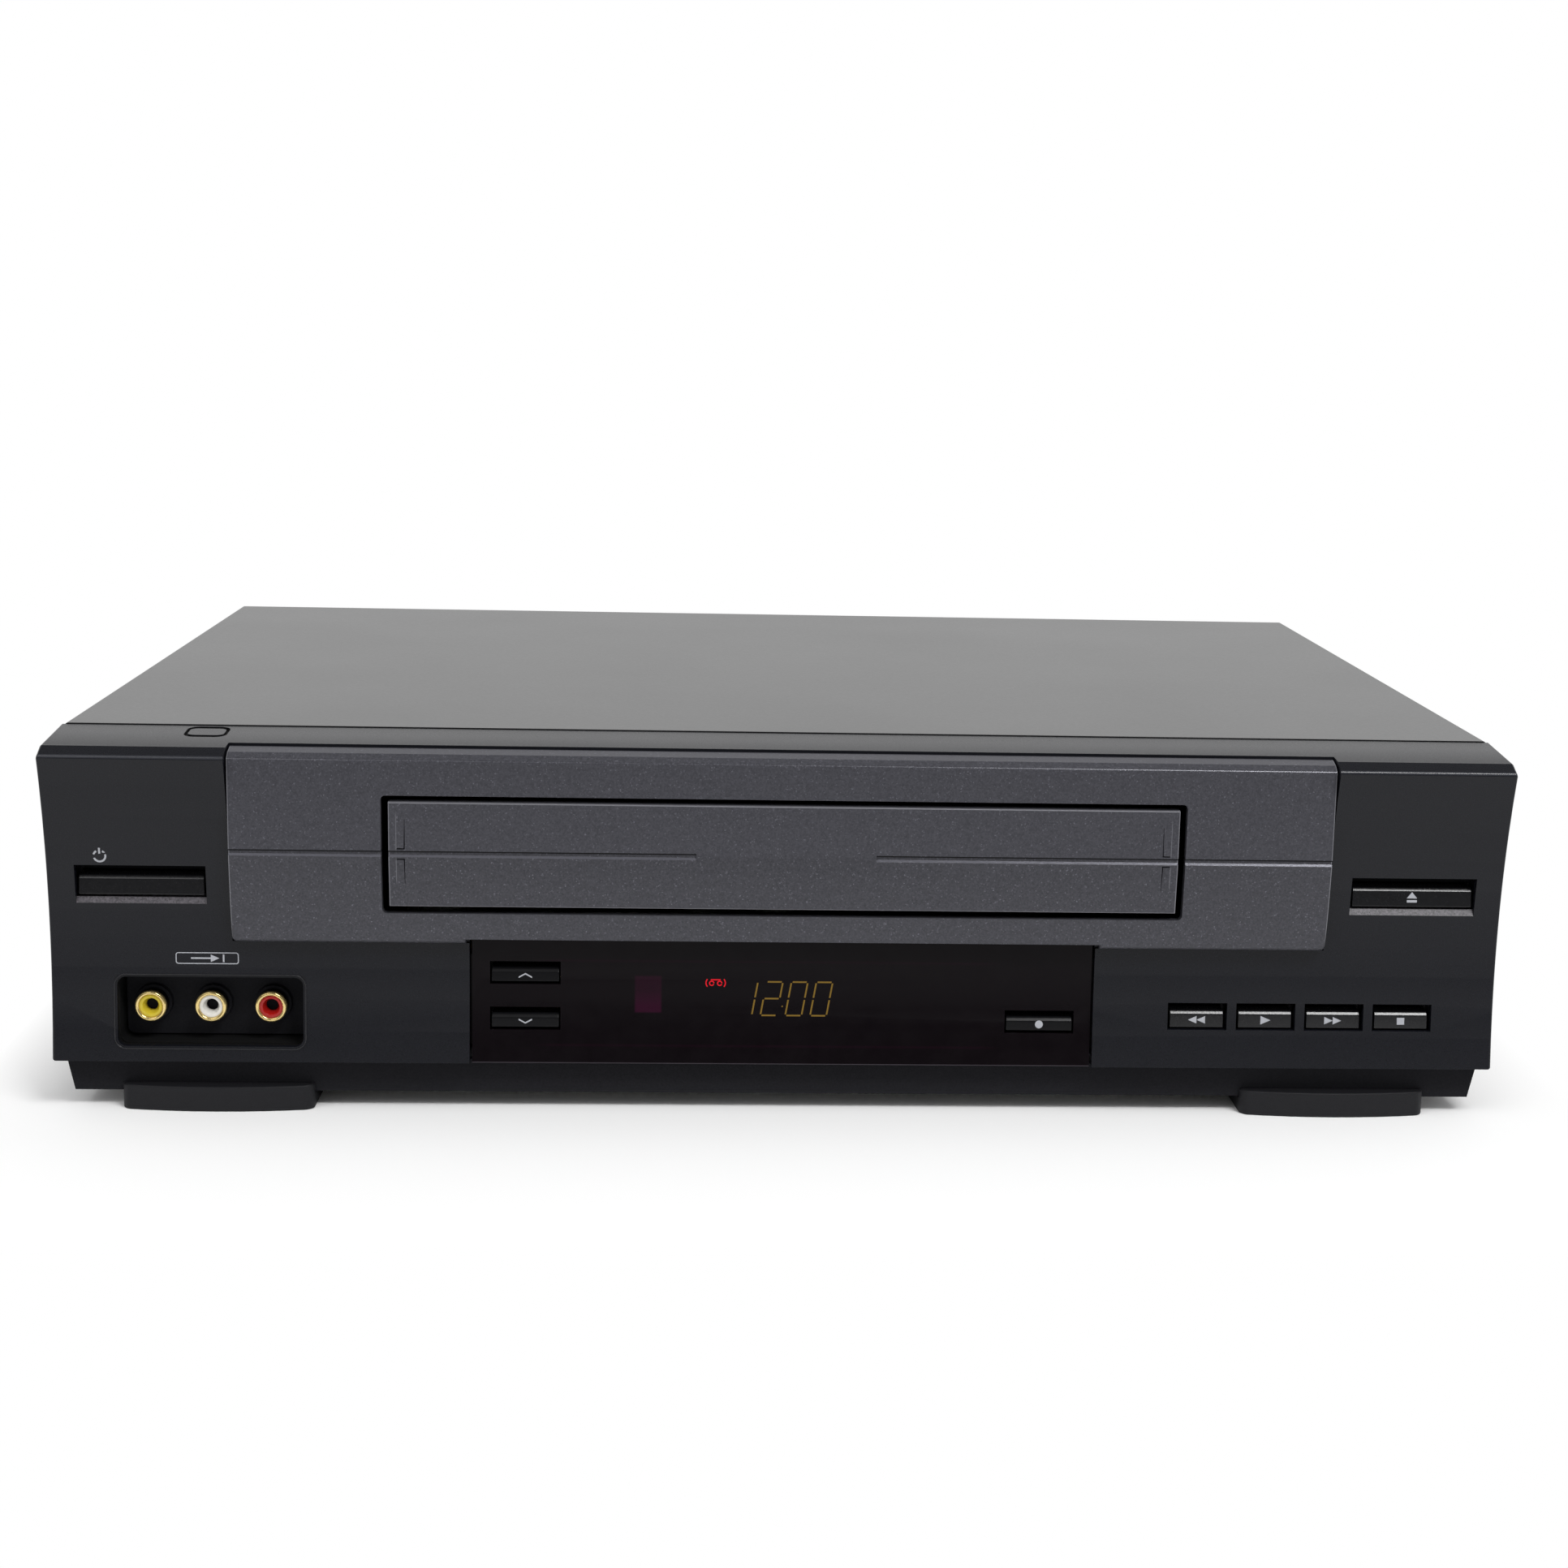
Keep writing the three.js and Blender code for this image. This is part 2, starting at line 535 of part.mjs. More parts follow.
// What the centre panel, the door with its hinges, and the window stand in
function bezelOpenings() {
  const doorway = doorwayHalf + hingeEar.gap + hingeEar.thickness - gap;
  const hingeTop = hingeZ + hingeEar.rise + gap * 2;
  return [
    block(both(panelHalf + seat.sideGap), [frontmost, seat.backY], [seat.bottom, seamHeight + overrun]),
    block(both(doorway), [frontmost, overrun], [doorBottom - door.lowGap * 2, hingeTop]),
    block(both(windowHalf + windowPlate.sideGap), [frontmost, seat.backY + seat.wall + overrun],
      [bezel.bottom - overrun, windowPlate.top + windowPlate.topGap]),
  ];
}

function frontBezel() {
  const bosses = boardBosses.map(([x, z]) => bossAt(x, z));
  const trays = bezelKeyPockets.map(({ tray }) => tray);
  let body = addAll(bezelShell(), [panelSeat(), jackTray(), ...bosses, ...trays]);
  body = subtractAll(body, bezelKeyPockets.map(({ cut }) => cut));
  body = addAll(body, keyLedges());
  return subtractAll(body, [jackOpening(), ...bezelOpenings()]);
}

// The panel's solid outside
function panelBlank(back) {
  const profile = outline([
    [back, panel.bottom], [panelFaceY(panel.bottom), panel.bottom], [panel.faceY, panel.grooveZ],
    [panel.faceY, panelEdgeZ], [panel.topFrontY, panelEdgeZ + panel.topFrontRise],
    [panel.topBackY, panelTopZ],
    [back, panelTopZ],
  ]);
  const zs = [panel.bottom, panelTopZ + panel.corner * 2];
  const front = roundedRectangle(both(panelHalf), zs, panel.corner);
  return extrudeAlongX(profile, both(panelHalf + overrun))
    .intersect(extrudeAlongY(front, [panel.faceY - overrun, back + overrun], 4));
}

function panelHollow(back) {
  const innerTop = panelEdgeZ - panel.skin / 2;
  const low = panel.bottom + panel.skin;
  const profile = outline([
    [back + overrun, low], [panelFaceY(panel.bottom) + panel.skin, low],
    [panel.faceY + panel.skin, panel.grooveZ], [panel.faceY + panel.skin, innerTop],
    [back + overrun, innerTop],
  ]);
  return extrudeAlongX(profile, both(panelHalf - panel.skin));
}

// A lug behind the panel that holds one end of the door's pin
function panelLug(side) {
  const inner = side * (doorHalf + hingeEar.gap);
  return block(between(inner, inner + side * hingeEar.thickness),
    [panel.faceY + panel.skin - gap, door.hingeY + hingeEar.reach],
    [doorTop + door.topGap - hingeEar.thickness, hingeZ + hingeEar.rise]);
}

function centrePanel() {
  const back = seat.backY - gap;
  const depth = [panel.faceY - overrun, back + overrun];
  const body = subtractAll(panelBlank(back), [
    panelHollow(back),
    block(both(doorwayHalf), depth, [doorBottom - door.lowGap, doorTop + door.topGap]),
    block(both(panelHalf + overrun), [depth[0], panel.faceY + panel.grooveDepth],
      from(panel.grooveZ, panel.grooveHeight)),
    block(both(windowHalf + windowPlate.sideGap * 2), depth,
      [panel.bottom - overrun, panel.bottom + panel.windowNotch]),
  ]);
  const pinHole = rodAlongX(door.pinRadius + gap, door.hingeY, hingeZ,
    both(panelHalf - panel.skin - overrun));
  return addAll(body, [panelLug(-1), panelLug(1)]).subtract(pinHole);
}

// The arm at one end of the door, with its hub and the pin that turns in the panel's lug
function doorEar(side) {
  const backY = panel.faceY + door.thickness;
  const profile = outline([
    [backY - gap, doorTop - door.earDrop], [backY + door.earRoot, doorTop - door.earDrop],
    [door.hingeY + door.hubRadius, hingeZ], [door.hingeY - door.hubRadius, hingeZ],
    [backY + gap, doorTop], [backY - gap, doorTop],
  ]);
  const inner = side * (doorHalf - door.earThickness);
  const xs = between(inner, side * doorHalf);
  const tip = side * (doorHalf + hingeEar.gap + hingeEar.thickness - gap);
  return addAll(extrudeAlongX(profile, xs), [
    rodAlongX(door.hubRadius, door.hingeY, hingeZ, xs),
    rodAlongX(door.pinRadius, door.hingeY, hingeZ, between(inner, tip)),
  ]);
}

function cassetteDoor() {
  const low = panelFaceY(doorBottom);
  const leaf = outline([
    [low, doorBottom], [low + door.thickness, doorBottom], [panel.faceY + door.thickness, panel.grooveZ],
    [panel.faceY + door.thickness, doorTop], [panel.faceY, doorTop], [panel.faceY, panel.grooveZ],
  ]);
  const grooves = [-1, 1].map((side) => (
    block(between(side * door.grooveBreak / 2, side * (doorHalf + overrun)),
      [panel.faceY - overrun, panel.faceY + panel.grooveDepth], from(panel.grooveZ, panel.grooveHeight))));
  return subtractAll(addAll(extrudeAlongX(leaf, both(doorHalf)), [doorEar(-1), doorEar(1)]), grooves);
}

function displayWindow() {
  const strip = (top, bottom, front, thickness) => outline([
    ...arcPoints(top, bottom, front, 6), ...arcPoints(bottom, top, front + thickness, 6),
  ]);
  const { top, inset, thickness, lipTop, lipBottom, lipThickness, lipReach } = windowPlate;
  const plate = extrudeAlongX(strip(top, bezel.bottom, inset, thickness), both(windowHalf));
  const lip = extrudeAlongX(strip(lipTop, lipBottom, bezel.wall + gap, lipThickness),
    both(windowHalf + lipReach));
  const body = addAll(plate, [lip, ...windowKeyPockets.map(({ tray }) => tray)]);
  return subtractAll(body, windowKeyPockets.map(({ cut }) => cut));
}

function topCover() {
  const inside = coverHalf - cover.sheet;
  const top = coverTop;
  const innerCorner = cover.corner - cover.sheet;
  const shape = new THREE.Shape();
  shape.moveTo(coverHalf, bezel.bottom + gap);
  shape.lineTo(coverHalf, top - cover.corner);
  shape.absarc(coverHalf - cover.corner, top - cover.corner, cover.corner, 0, Math.PI / 2);
  shape.absarc(-coverHalf + cover.corner, top - cover.corner, cover.corner, Math.PI / 2, Math.PI);
  shape.lineTo(-coverHalf, bezel.bottom + gap);
  shape.lineTo(-inside, bezel.bottom + gap);
  shape.absarc(-inside + innerCorner, top - cover.corner, innerCorner, Math.PI, Math.PI / 2, true);
  shape.absarc(inside - innerCorner, top - cover.corner, innerCorner, Math.PI / 2, 0, true);
  shape.lineTo(inside, bezel.bottom + gap);
  return extrudeAlongY(shape, [gap, coverDepth], 5);
}

function baseFrame() {
  const skirt = outline([
    [-baseBottomHalf, base.bottom], [baseBottomHalf, base.bottom],
    [baseTopHalf, baseTop], [-baseTopHalf, baseTop],
  ]);
  let body = extrudeAlongY(skirt, [base.frontY, baseBackY]);
  const wallY = [base.frontY + base.wall, baseBackY - base.wall];
  const inner = outline([
    [-baseBottomHalf + base.wall, base.bottom + base.ledgeThickness],
    [baseBottomHalf - base.wall, base.bottom + base.ledgeThickness],
    [baseTopHalf - base.wall, baseTop + overrun], [-baseTopHalf + base.wall, baseTop + overrun],
  ]);
  body = body.subtract(extrudeAlongY(inner, wallY));
  const ledgeIn = base.wall + base.ledgeWidth;
  body = body.subtract(block(both(baseBottomHalf - ledgeIn),
    [base.frontY + ledgeIn, baseBackY - ledgeIn], [base.bottom - overrun, baseTop]));
  const outer = coverHalf - cover.sheet - gap;
  return addAll(body, [-1, 1].map((side) => block(between(side * outer, side * (outer - base.rimThickness)),
    [base.rimStartY, baseBackY - base.rimInset], [baseTop - overrun / 2, base.rimTop])));
}

function boardPosts(side, board) {
  const ys = [board.frontY + boardPost.inset, boardBackY - boardPost.inset];
  const xs = [boardInnerX + boardPost.inset, boardOuterX - boardPost.inset];
  return xs.flatMap((x) => ys.map((y) => [side * x, y]));
}

function bottomSheet() {
  const half = baseBottomHalf - base.wall - gap;
  const ys = [base.frontY + base.wall + gap, baseBackY - base.wall - gap];
  let body = block(both(half), ys, [plateBottom, plateTop]);
  const sunk = plateTop - bottomPlate.thickness / 2;
  for (const x of both(deckPost.x)) {
    for (const y of [deckPost.frontY, chassisBackY - deckPost.backInset]) {
      body = body.add(rod(deckPost.radius, x, y, [sunk, chassis.bottom - gap], 8));
    }
  }
  for (const [side, board] of [[1, mainBoard], [-1, powerBoard]]) {
    for (const [x, y] of boardPosts(side, board)) {
      body = body.add(rod(boardPost.radius, x, y, [sunk, board.bottom - gap], 6));
    }
  }
  const { ventWidth, ventLength, ventPitch, ventCount, ventX, ventY } = bottomPlate;
  for (const side of [-1, 1]) {
    for (let i = 0; i < ventCount; i += 1) {
      body = body.subtract(block(around(side * ventX, ventLength), from(ventY + ventPitch * i, ventWidth),
        [plateBottom - overrun, plateTop + overrun]));
    }
  }
  return body;
}

const rearJackPlaces = [];
for (let column = 0; column < rearJacks.columns; column += 1) {
  for (let row = 0; row < rearJacks.rows; row += 1) {
    const columnPitch = rearJacksWidth * rearJacks.columnPitchShare;
    const x = rearJacksX + (column - (rearJacks.columns - 1) / 2) * columnPitch;
    rearJackPlaces.push([x, rearJacks.firstZ + row * rearJacks.rowPitch]);
  }
}
const tunerSocketXs = around(tunerX, tunerWidth * tuner.socketPitchShare);

// What the rear panel leaves free at one of its upper corners for the cover's bend
function bendClearance(side, highHalf, through) {
  const top = coverTop - cover.sheet - gap;
  const beyond = side * (highHalf + overrun);
  const shoulder = side * (highHalf - cover.corner);
  return extrudeAlongY(outline([
    [beyond, coverTop], [shoulder, coverTop], [shoulder, top],
    [side * highHalf, top - cover.corner], [beyond, top - cover.corner],
  ]), through);
}

function rearSheet() {
  const ys = from(rearPanelY, rearPanel.thickness);
  const through = widened(ys, overrun);
  const lowHalf = baseBottomHalf - base.wall - gap;
  const highHalf = coverHalf - cover.sheet - gap;
  const upper = block(both(highHalf), ys, [bezel.bottom + gap, coverTop - cover.sheet - gap]);
  const lower = block(both(lowHalf), ys, [plateTop + gap, bezel.bottom + gap * 2]);
  const vents = [...Array(rearPanel.ventCount).keys()].map((i) => (
    block(from(rearPanel.ventX + rearPanel.ventPitch * i, rearPanel.ventWidth), through,
      around(coverTop / 2, rearPanel.ventHeight))));
  return subtractAll(upper.add(lower), [
    ...[-1, 1].map((side) => bendClearance(side, highHalf, through)),
    ...rearJackPlaces.map(([x, z]) => rodAlongY(rearJacks.barrelRadius + gap, x, z, through, 12)),
    ...tunerSocketXs.map((x) => rodAlongY(tuner.socketRadius + gap, x, tuner.socketZ, through, 12)),
    rodAlongY(bush.neckRadius + gap, bushX, bush.z, through, 12),
    ...vents,
  ]);
}

function footUnderFront() {
  const half = frontFoot.width / 2;
  const shape = new THREE.Shape();
  shape.moveTo(half, frontFoot.backY);
  shape.lineTo(-half, frontFoot.backY);
  shape.lineTo(-half, frontFoot.frontY + frontFoot.bow);
  shape.quadraticCurveTo(0, frontFoot.frontY - frontFoot.bow, half, frontFoot.frontY + frontFoot.bow);
  const body = extrudeUp(shape, [0, frontFoot.height]);
  return body.subtract(block(both(half + overrun), [base.frontY - gap, frontFoot.backY + overrun],
    [base.bottom - gap, frontFoot.height + overrun]));
}

function footUnderRear() {
  const { radius, bevel } = rearFoot;
  const top = plateBottom - gap;
  return turned([[0, 0], [radius - bevel, 0], [radius, bevel], [radius, top], [0, top]], 0, 0, 20);
}

function addCasing() {
  piece('top_cover', finishes.paintedSteel, topCover());
  piece('base_frame', finishes.blackPlastic, baseFrame());
  piece('bottom_plate', finishes.zincSteel, bottomSheet());
  piece('rear_panel', finishes.paintedSteel, rearSheet());
  piece('front_bezel', finishes.charcoalPlastic, frontBezel());
  piece('center_panel', finishes.metallicGreyPlastic, centrePanel());
  piece('cassette_door', finishes.metallicGreyPlastic, cassetteDoor());
  piece('display_window', finishes.smokedPlastic, displayWindow());
  for (const [side, label] of [[-1, 'left'], [1, 'right']]) {
    piece(`front_foot_${label}`, finishes.blackPlastic, footUnderFront()).position.x = side * footX;
    piece(`rear_foot_${label}`, finishes.rubber, footUnderRear())
      .position.set(side * footX, coverDepth - rearFoot.backInset, 0);
  }
}

// Electronics behind the bezel

function frontCircuitBoard() {
  const board = frontBoard;
  const shape = outline([
    [-frontBoardHalf, board.leftBottom], [lowBoardX, board.leftBottom], [lowBoardX, board.bottom],
    [frontBoardHalf, board.bottom], [frontBoardHalf, board.endTop], [frontBoardRightX, board.endTop],
    [frontBoardRightX, board.middleTop], [lowBoardX, board.middleTop], [lowBoardX, board.endTop],
    [-frontBoardHalf, board.endTop],
  ]);
  let body = extrudeAlongY(shape, from(board.frontY, board.thickness));
  for (const item of frontKeys) {
    const z = item.z + item.style.sill + item.style.height / 2;
    body = body.add(block(around(item.x, board.switchSize),
      [keyBackY + key.travel + gap, board.frontY + board.thickness / 2], around(z, board.switchSize)));
  }
  return body;
}

function vacuumDisplay() {
  const { xShare, widthShare, bottom, height, frontY, depth, footShare, footHeight } = displayTube;
  const x = windowWidth * xShare;
  const glass = block(around(x, windowWidth * widthShare), from(frontY, depth), from(bottom, height));
  const foot = block(around(x, windowWidth * footShare), [frontY + depth / 2, frontBoard.frontY - gap],
    around(bottom + height / 2, footHeight));
  return glass.add(foot);
}

function frontSocketBlock() {
  const front = jackPocket.floorY;
  const shape = roundedRectangle(around(jackPocketX, jackPocketWidth - gap * 2),
    widened([jackPocket.bottom, jackPocket.top], -gap), jackPocket.corner - gap);
  const body = extrudeAlongY(shape, from(front, frontJackBlock.depth), 4);
  const collarY = [front - jack.collarLength, front + overrun];
  return addAll(body, jackPlaces.map((x) => rodAlongY(jack.collarRadius, x, jack.z, collarY)));
}

function addFrontElectronics() {
  piece('front_board', finishes.boardBrown, frontCircuitBoard());
  piece('display_tube', finishes.glass, vacuumDisplay());
  piece('front_jack_block', finishes.blackPlastic, frontSocketBlock());
  const { shellRadius, shellBore, shellLength, lip, insertBore, insertInset } = jack;
  const shell = turnedAlongY([
    [shellBore, 0], [shellRadius - lip, 0], [shellRadius, lip], [shellRadius, shellLength],
    [shellBore, shellLength], [shellBore, 0],
  ], 0, 0, 16);
  const insert = turnedAlongY(ringProfile(insertBore, shellBore - gap, insertInset, shellLength), 0, 0, 12);
  const inputs = [
    ['video_in', finishes.yellow], ['audio_left_in', finishes.white], ['audio_right_in', finishes.red],
  ];
  inputs.forEach(([name, finish], i) => {
    piece(`${name}_shell`, finishes.gold, shell).position.set(jackPlaces[i], jack.shellFrontY, jack.z);
    piece(`${name}_insert`, finish, insert).position.set(jackPlaces[i], jack.shellFrontY, jack.z);
  });
}

// Electronics in the body of the machine

function signalBoard() {
  let body = block([boardInnerX, boardOuterX], [mainBoard.frontY, boardBackY],
    from(mainBoard.bottom, mainBoard.thickness));
  const chip = mainBoardChip;
  for (let i = 0; i < chip.count; i += 1) {
    body = body.add(block(around(boardInnerX + chip.inset, chip.width),
      from(chip.firstY + chip.pitch * i, chip.depth),
      from(mainBoard.bottom + mainBoard.thickness / 2, chip.height)));
  }
  return body;
}

function coiledTransformer() {
  const bottom = powerBoard.bottom + powerBoard.thickness + gap;
  const { y, width, depth, height, coilWidth, coilDepth, coilHeight } = transformer;
  const x = -boardMiddleX;
  const core = block(around(x, width), around(y, depth), from(bottom, height));
  return core.add(block(around(x, coilWidth), around(y, coilDepth), around(bottom + height / 2, coilHeight)));
}

function smoothingCapacitor() {
  const low = powerBoard.bottom + powerBoard.thickness + gap;
  const { radius, height, bevel, y } = capacitor;
  const x = -boardInnerX - capacitor.inset;
  const top = low + height;
  return turned([[0, low], [radius, low], [radius, top - bevel], [radius - bevel, top], [0, top]], x, y, 16);
}

function finnedSink() {
  const low = powerBoard.bottom + powerBoard.thickness + gap;
  const { y, width, depth, height, spine, fin, finCount } = heatSink;
  const x = heatSink.sideInset - boardOuterX;
  let body = block(around(x, spine), around(y, depth), from(low, height));
  for (let i = 0; i < finCount; i += 1) {
    const start = y - depth / 2 + ((depth - fin) * i) / (finCount - 1);
    body = body.add(block(around(x, width), from(start, fin), from(low, height)));
  }
  return body;
}

function tunerCan() {
  const low = mainBoard.bottom + mainBoard.thickness + gap;
  const face = rearPanelY - gap;
  const body = block(around(tunerX, tunerWidth), [face - tuner.depth, face], from(low, tuner.height));
  const outside = rearPanelY + rearPanel.thickness + gap;
  const nutEnd = outside + tuner.nutLength;
  const profile = [
    [0, face - overrun], [tuner.socketRadius, face - overrun], [tuner.socketRadius, outside],
    [tuner.nutRadius, outside], [tuner.nutRadius, nutEnd], [tuner.socketRadius, nutEnd],
    [tuner.socketRadius, rearmostY], [tuner.socketBore, rearmostY], [tuner.socketBore, outside], [0, outside],
  ];
  return addAll(body, tunerSocketXs.map((x) => turnedAlongY(profile, x, tuner.socketZ, 12)));
}

function rearSocketBlock() {
  const low = mainBoard.bottom + mainBoard.thickness + gap;
  const face = rearPanelY - gap;
  const body = block(around(rearJacksX, rearJacksWidth), [face - rearJacks.depth, face],
    from(low, rearJacks.height));
  const mouth = rearPanelY + rearJacks.reach;
  const floor = mouth - rearJacks.boreDepth;
  const profile = [
    [0, face - overrun], [rearJacks.barrelRadius, face - overrun], [rearJacks.barrelRadius, mouth],
    [rearJacks.barrelBore, mouth], [rearJacks.barrelBore, floor], [0, floor],
  ];
  return addAll(body, rearJackPlaces.map(([x, z]) => turnedAlongY(profile, x, z, 12)));
}

// The gland that the mains lead would leave through
function cordBush() {
  const inside = rearPanelY - gap;
  const outside = rearPanelY + rearPanel.thickness + gap;
  const profile = [
    [bush.bore, inside - bush.flangeLength], [bush.innerFlangeRadius, inside - bush.flangeLength],
    [bush.innerFlangeRadius, inside], [bush.neckRadius, inside], [bush.neckRadius, outside],
    [bush.flangeRadius, outside], [bush.flangeRadius, outside + bush.flangeLength / 2],
    [bush.neckRadius, outside + bush.flangeLength], [bush.bore, outside + bush.flangeLength],
    [bush.bore, inside - bush.flangeLength],
  ];
  return turnedAlongY(profile, bushX, bush.z, 16);
}

function addBodyElectronics() {
  piece('main_board', finishes.boardBrown, signalBoard());
  piece('power_board', finishes.boardBrown, block([-boardOuterX, -boardInnerX],
    [powerBoard.frontY, boardBackY], from(powerBoard.bottom, powerBoard.thickness)));
  piece('transformer', finishes.copper, coiledTransformer());
  piece('main_capacitor', finishes.blackPlastic, smoothingCapacitor());
  piece('heat_sink', finishes.aluminium, finnedSink());
  piece('tuner_box', finishes.zincSteel, tunerCan());
  piece('rear_jack_block', finishes.blackPlastic, rearSocketBlock());
  piece('cord_bush', finishes.blackPlastic, cordBush());
}

// Tape deck

const clutchPlace = [0, clutch.y];
const capstanPlace = [capstan.x, capstan.y];
const idlerReach = clutch.gearRadius + idler.radius + idler.mesh;
const idlerPlace = [0, clutch.y + idlerReach];
const armTop = onDeck + idler.armThickness;
const gearBottom = armTop + clutch.armGap;

// Upright pins that the reels, the cam gear and the two arms turn on
const axlePlaces = [
  [-reel.x, reel.y], [reel.x, reel.y], [camGear.x, camGear.y],
  [pinch.armX, pinch.armY], [tension.x, tension.y],
];

// A slot in the chassis that one tape guide's neck runs along
function guideWay(side, zs) {
  const radius = guide.neckRadius + guide.neckGap;
  const way = wrapped([side * guide.x, guide.y], radius, [side * guide.endX, guide.endY], radius);
  return extrudeUp(way, zs, 6);
}

function chassisWall(side) {
  return block(between(side * chassisHalf, side * (chassisHalf + chassis.sheet)),
    [chassis.wallFrontY, chassis.wallBackY], [chassis.bottom, doorTop + chassis.wallRise]);
}

function deckChassis() {
  const through = widened([chassis.bottom, deckTop], overrun);
  const sunk = deckTop - chassis.sheet / 2;
  const floor = block(both(chassisHalf + chassis.sheet), [chassis.frontY, chassisBackY],
    [chassis.bottom, deckTop]);
  const slot = holder.pinRadius + slider.slotGap;
  const pinYs = [slider.frontY + slider.pinInset, slider.backY - slider.pinInset + slider.travel];
  const sheet = subtractAll(addAll(floor, [chassisWall(-1), chassisWall(1)]), [
    block(both(chassisHalf + chassis.sheet + overrun), widened(pinYs, slot), around(slider.pinZ, slot * 2)),
    guideWay(-1, through), guideWay(1, through),
  ]);
  const body = addAll(sheet, [
    ...axlePlaces.map(([x, y]) => rod(chassis.axleRadius, x, y, [sunk, chassis.axleTop], 12)),
    rod(endLamp.radius, 0, endLamp.y, [sunk, endLamp.top], 12),
    rod(capstan.bearingRadius, ...capstanPlace, [sunk, capstan.bearingTop], 16),
  ]);
  return subtractAll(body, [
    rod(capstan.shaftRadius + gap, ...capstanPlace, [through[0], capstan.bearingTop + overrun], 12),
    rod(clutch.shaftRadius + gap, ...clutchPlace, through, 12),
  ]);
}

// A moving part of the deck is built about its own axis, and placed by its position
function addTurning(name, finish, body, x, y) {
  piece(name, finish, body).position.set(x, y, 0);
}

function reelTable() {
  const low = gearBottom;
  const gearTop = low + reel.gearThickness;
  const ribTop = reel.hubTop - reel.bevel;
  let body = turned([
    [chassis.axleBore, low], [reel.gearRadius, low], [reel.gearRadius, gearTop], [reel.hubRadius, gearTop],
    [reel.hubRadius, ribTop], [reel.hubRadius - reel.bevel, reel.hubTop], [chassis.axleBore, reel.hubTop],
    [chassis.axleBore, low],
  ], 0, 0, 20);
  body = body.add(turned(ringProfile(chassis.axleBore, reel.footRadius, onDeck, gearTop - gap), 0, 0, 12));
  const rib = block(around(reel.hubRadius, reel.ribReach * 2), around(0, reel.ribWidth),
    [gearTop - gap, ribTop]);
  for (let i = 0; i < reel.ribCount; i += 1) {
    body = body.add(rib.rotate([0, 0, (360 * i) / reel.ribCount]));
  }
  return body;
}

const pulleyBottom = pulleyTop - pulley.groove - pulley.flange * 2;

function pulleyProfile(radius) {
  const { flange, groove, rim } = pulley;
  const low = pulleyBottom + flange;
  const high = low + groove;
  return [
    [radius + rim, pulleyBottom], [radius + rim, low], [radius, low], [radius, high], [radius + rim, high],
    [radius + rim, pulleyTop],
  ];
}

function clutchPulley() {
  const top = gearBottom + clutch.gearThickness;
  return turned([
    [0, pulleyBottom], ...pulleyProfile(pulley.clutchRadius), [clutch.shaftRadius, pulleyTop],
    [clutch.shaftRadius, gearBottom], [clutch.gearRadius, gearBottom], [clutch.gearRadius, top],
    [clutch.shaftRadius, top], [clutch.shaftRadius, top + clutch.hubRise], [0, top + clutch.hubRise],
  ], 0, 0, 16);
}

function capstanRotor() {
  const low = capstan.flywheelBottom;
  const high = low + capstan.flywheelThickness;
  const shaftLow = capstan.statorBottom + capstan.statorThickness + gap;
  return turned([
    [0, shaftLow], [capstan.shaftRadius, shaftLow], [capstan.shaftRadius, low], [capstan.flywheelRadius, low],
    [capstan.flywheelRadius, high], [pulley.capstanRadius + pulley.rim, high],
    ...pulleyProfile(pulley.capstanRadius), [capstan.shaftRadius, pulleyTop],
    [capstan.shaftRadius, capstan.shaftTop], [0, capstan.shaftTop],
  ], 0, 0, 20);
}

function capstanStator() {
  const low = capstan.statorBottom;
  const high = low + capstan.statorThickness;
  const core = ringProfile(capstan.shaftRadius + gap, capstan.coreRadius, high - gap,
    capstan.flywheelBottom - gap);
  const plate = rod(capstan.statorRadius, ...capstanPlace, [low, high], 20);
  let body = plate.add(turned(core, ...capstanPlace, 12));
  const postZ = [high - capstan.statorThickness / 2, chassis.bottom - gap];
  for (let i = 0; i < capstan.postCount; i += 1) {
    const angle = THREE.MathUtils.degToRad(capstan.postAngle) + (Math.PI * 2 * i) / capstan.postCount;
    const x = capstan.x + capstan.postCircle * Math.cos(angle);
    const y = capstan.y + capstan.postCircle * Math.sin(angle);
    body = body.add(rod(capstan.postRadius, x, y, postZ, 8));
  }
  return body;
}

function driveBelt() {
  const loop = (offset) => wrapped(capstanPlace, pulley.capstanRadius + offset, clutchPlace,
    pulley.clutchRadius + offset);
  const shape = loop(gap + pulley.beltThickness);
  shape.holes.push(loop(gap));
  return extrudeUp(shape, around(pulleyBottom + pulley.flange + pulley.groove / 2, pulley.beltWidth), 8);
}

function idlerSwingArm() {
  const half = idler.armWidth / 2;
  const arm = extrudeUp(wrapped([0, 0], half, [0, idlerReach], half), [onDeck, armTop], 8);
  const pinZ = [armTop - idler.armThickness / 2, gearBottom + clutch.gearThickness + gap];
  const bore = rod(clutch.shaftRadius + gap, 0, 0, widened([onDeck, armTop], overrun), 12);
  return arm.add(rod(idler.pinRadius, 0, idlerReach, pinZ, 12)).subtract(bore);
}

// The drum leans back, so its parts are turned upright and then tilted about the middle of their foot
function tilted(body) {
  return body.rotate([-drum.tilt, 0, 0]).translate([0, drum.y, deckTop]);
}

function lowerDrum() {
  const { radius, lowerHeight, skirt } = drum;
  const body = tilted(rod(radius, 0, 0, [-skirt, lowerHeight], 28));
  return body.subtract(block(both(radius * 2), around(drum.y, radius * 4), [deckTop - skirt * 4, onDeck]));
}

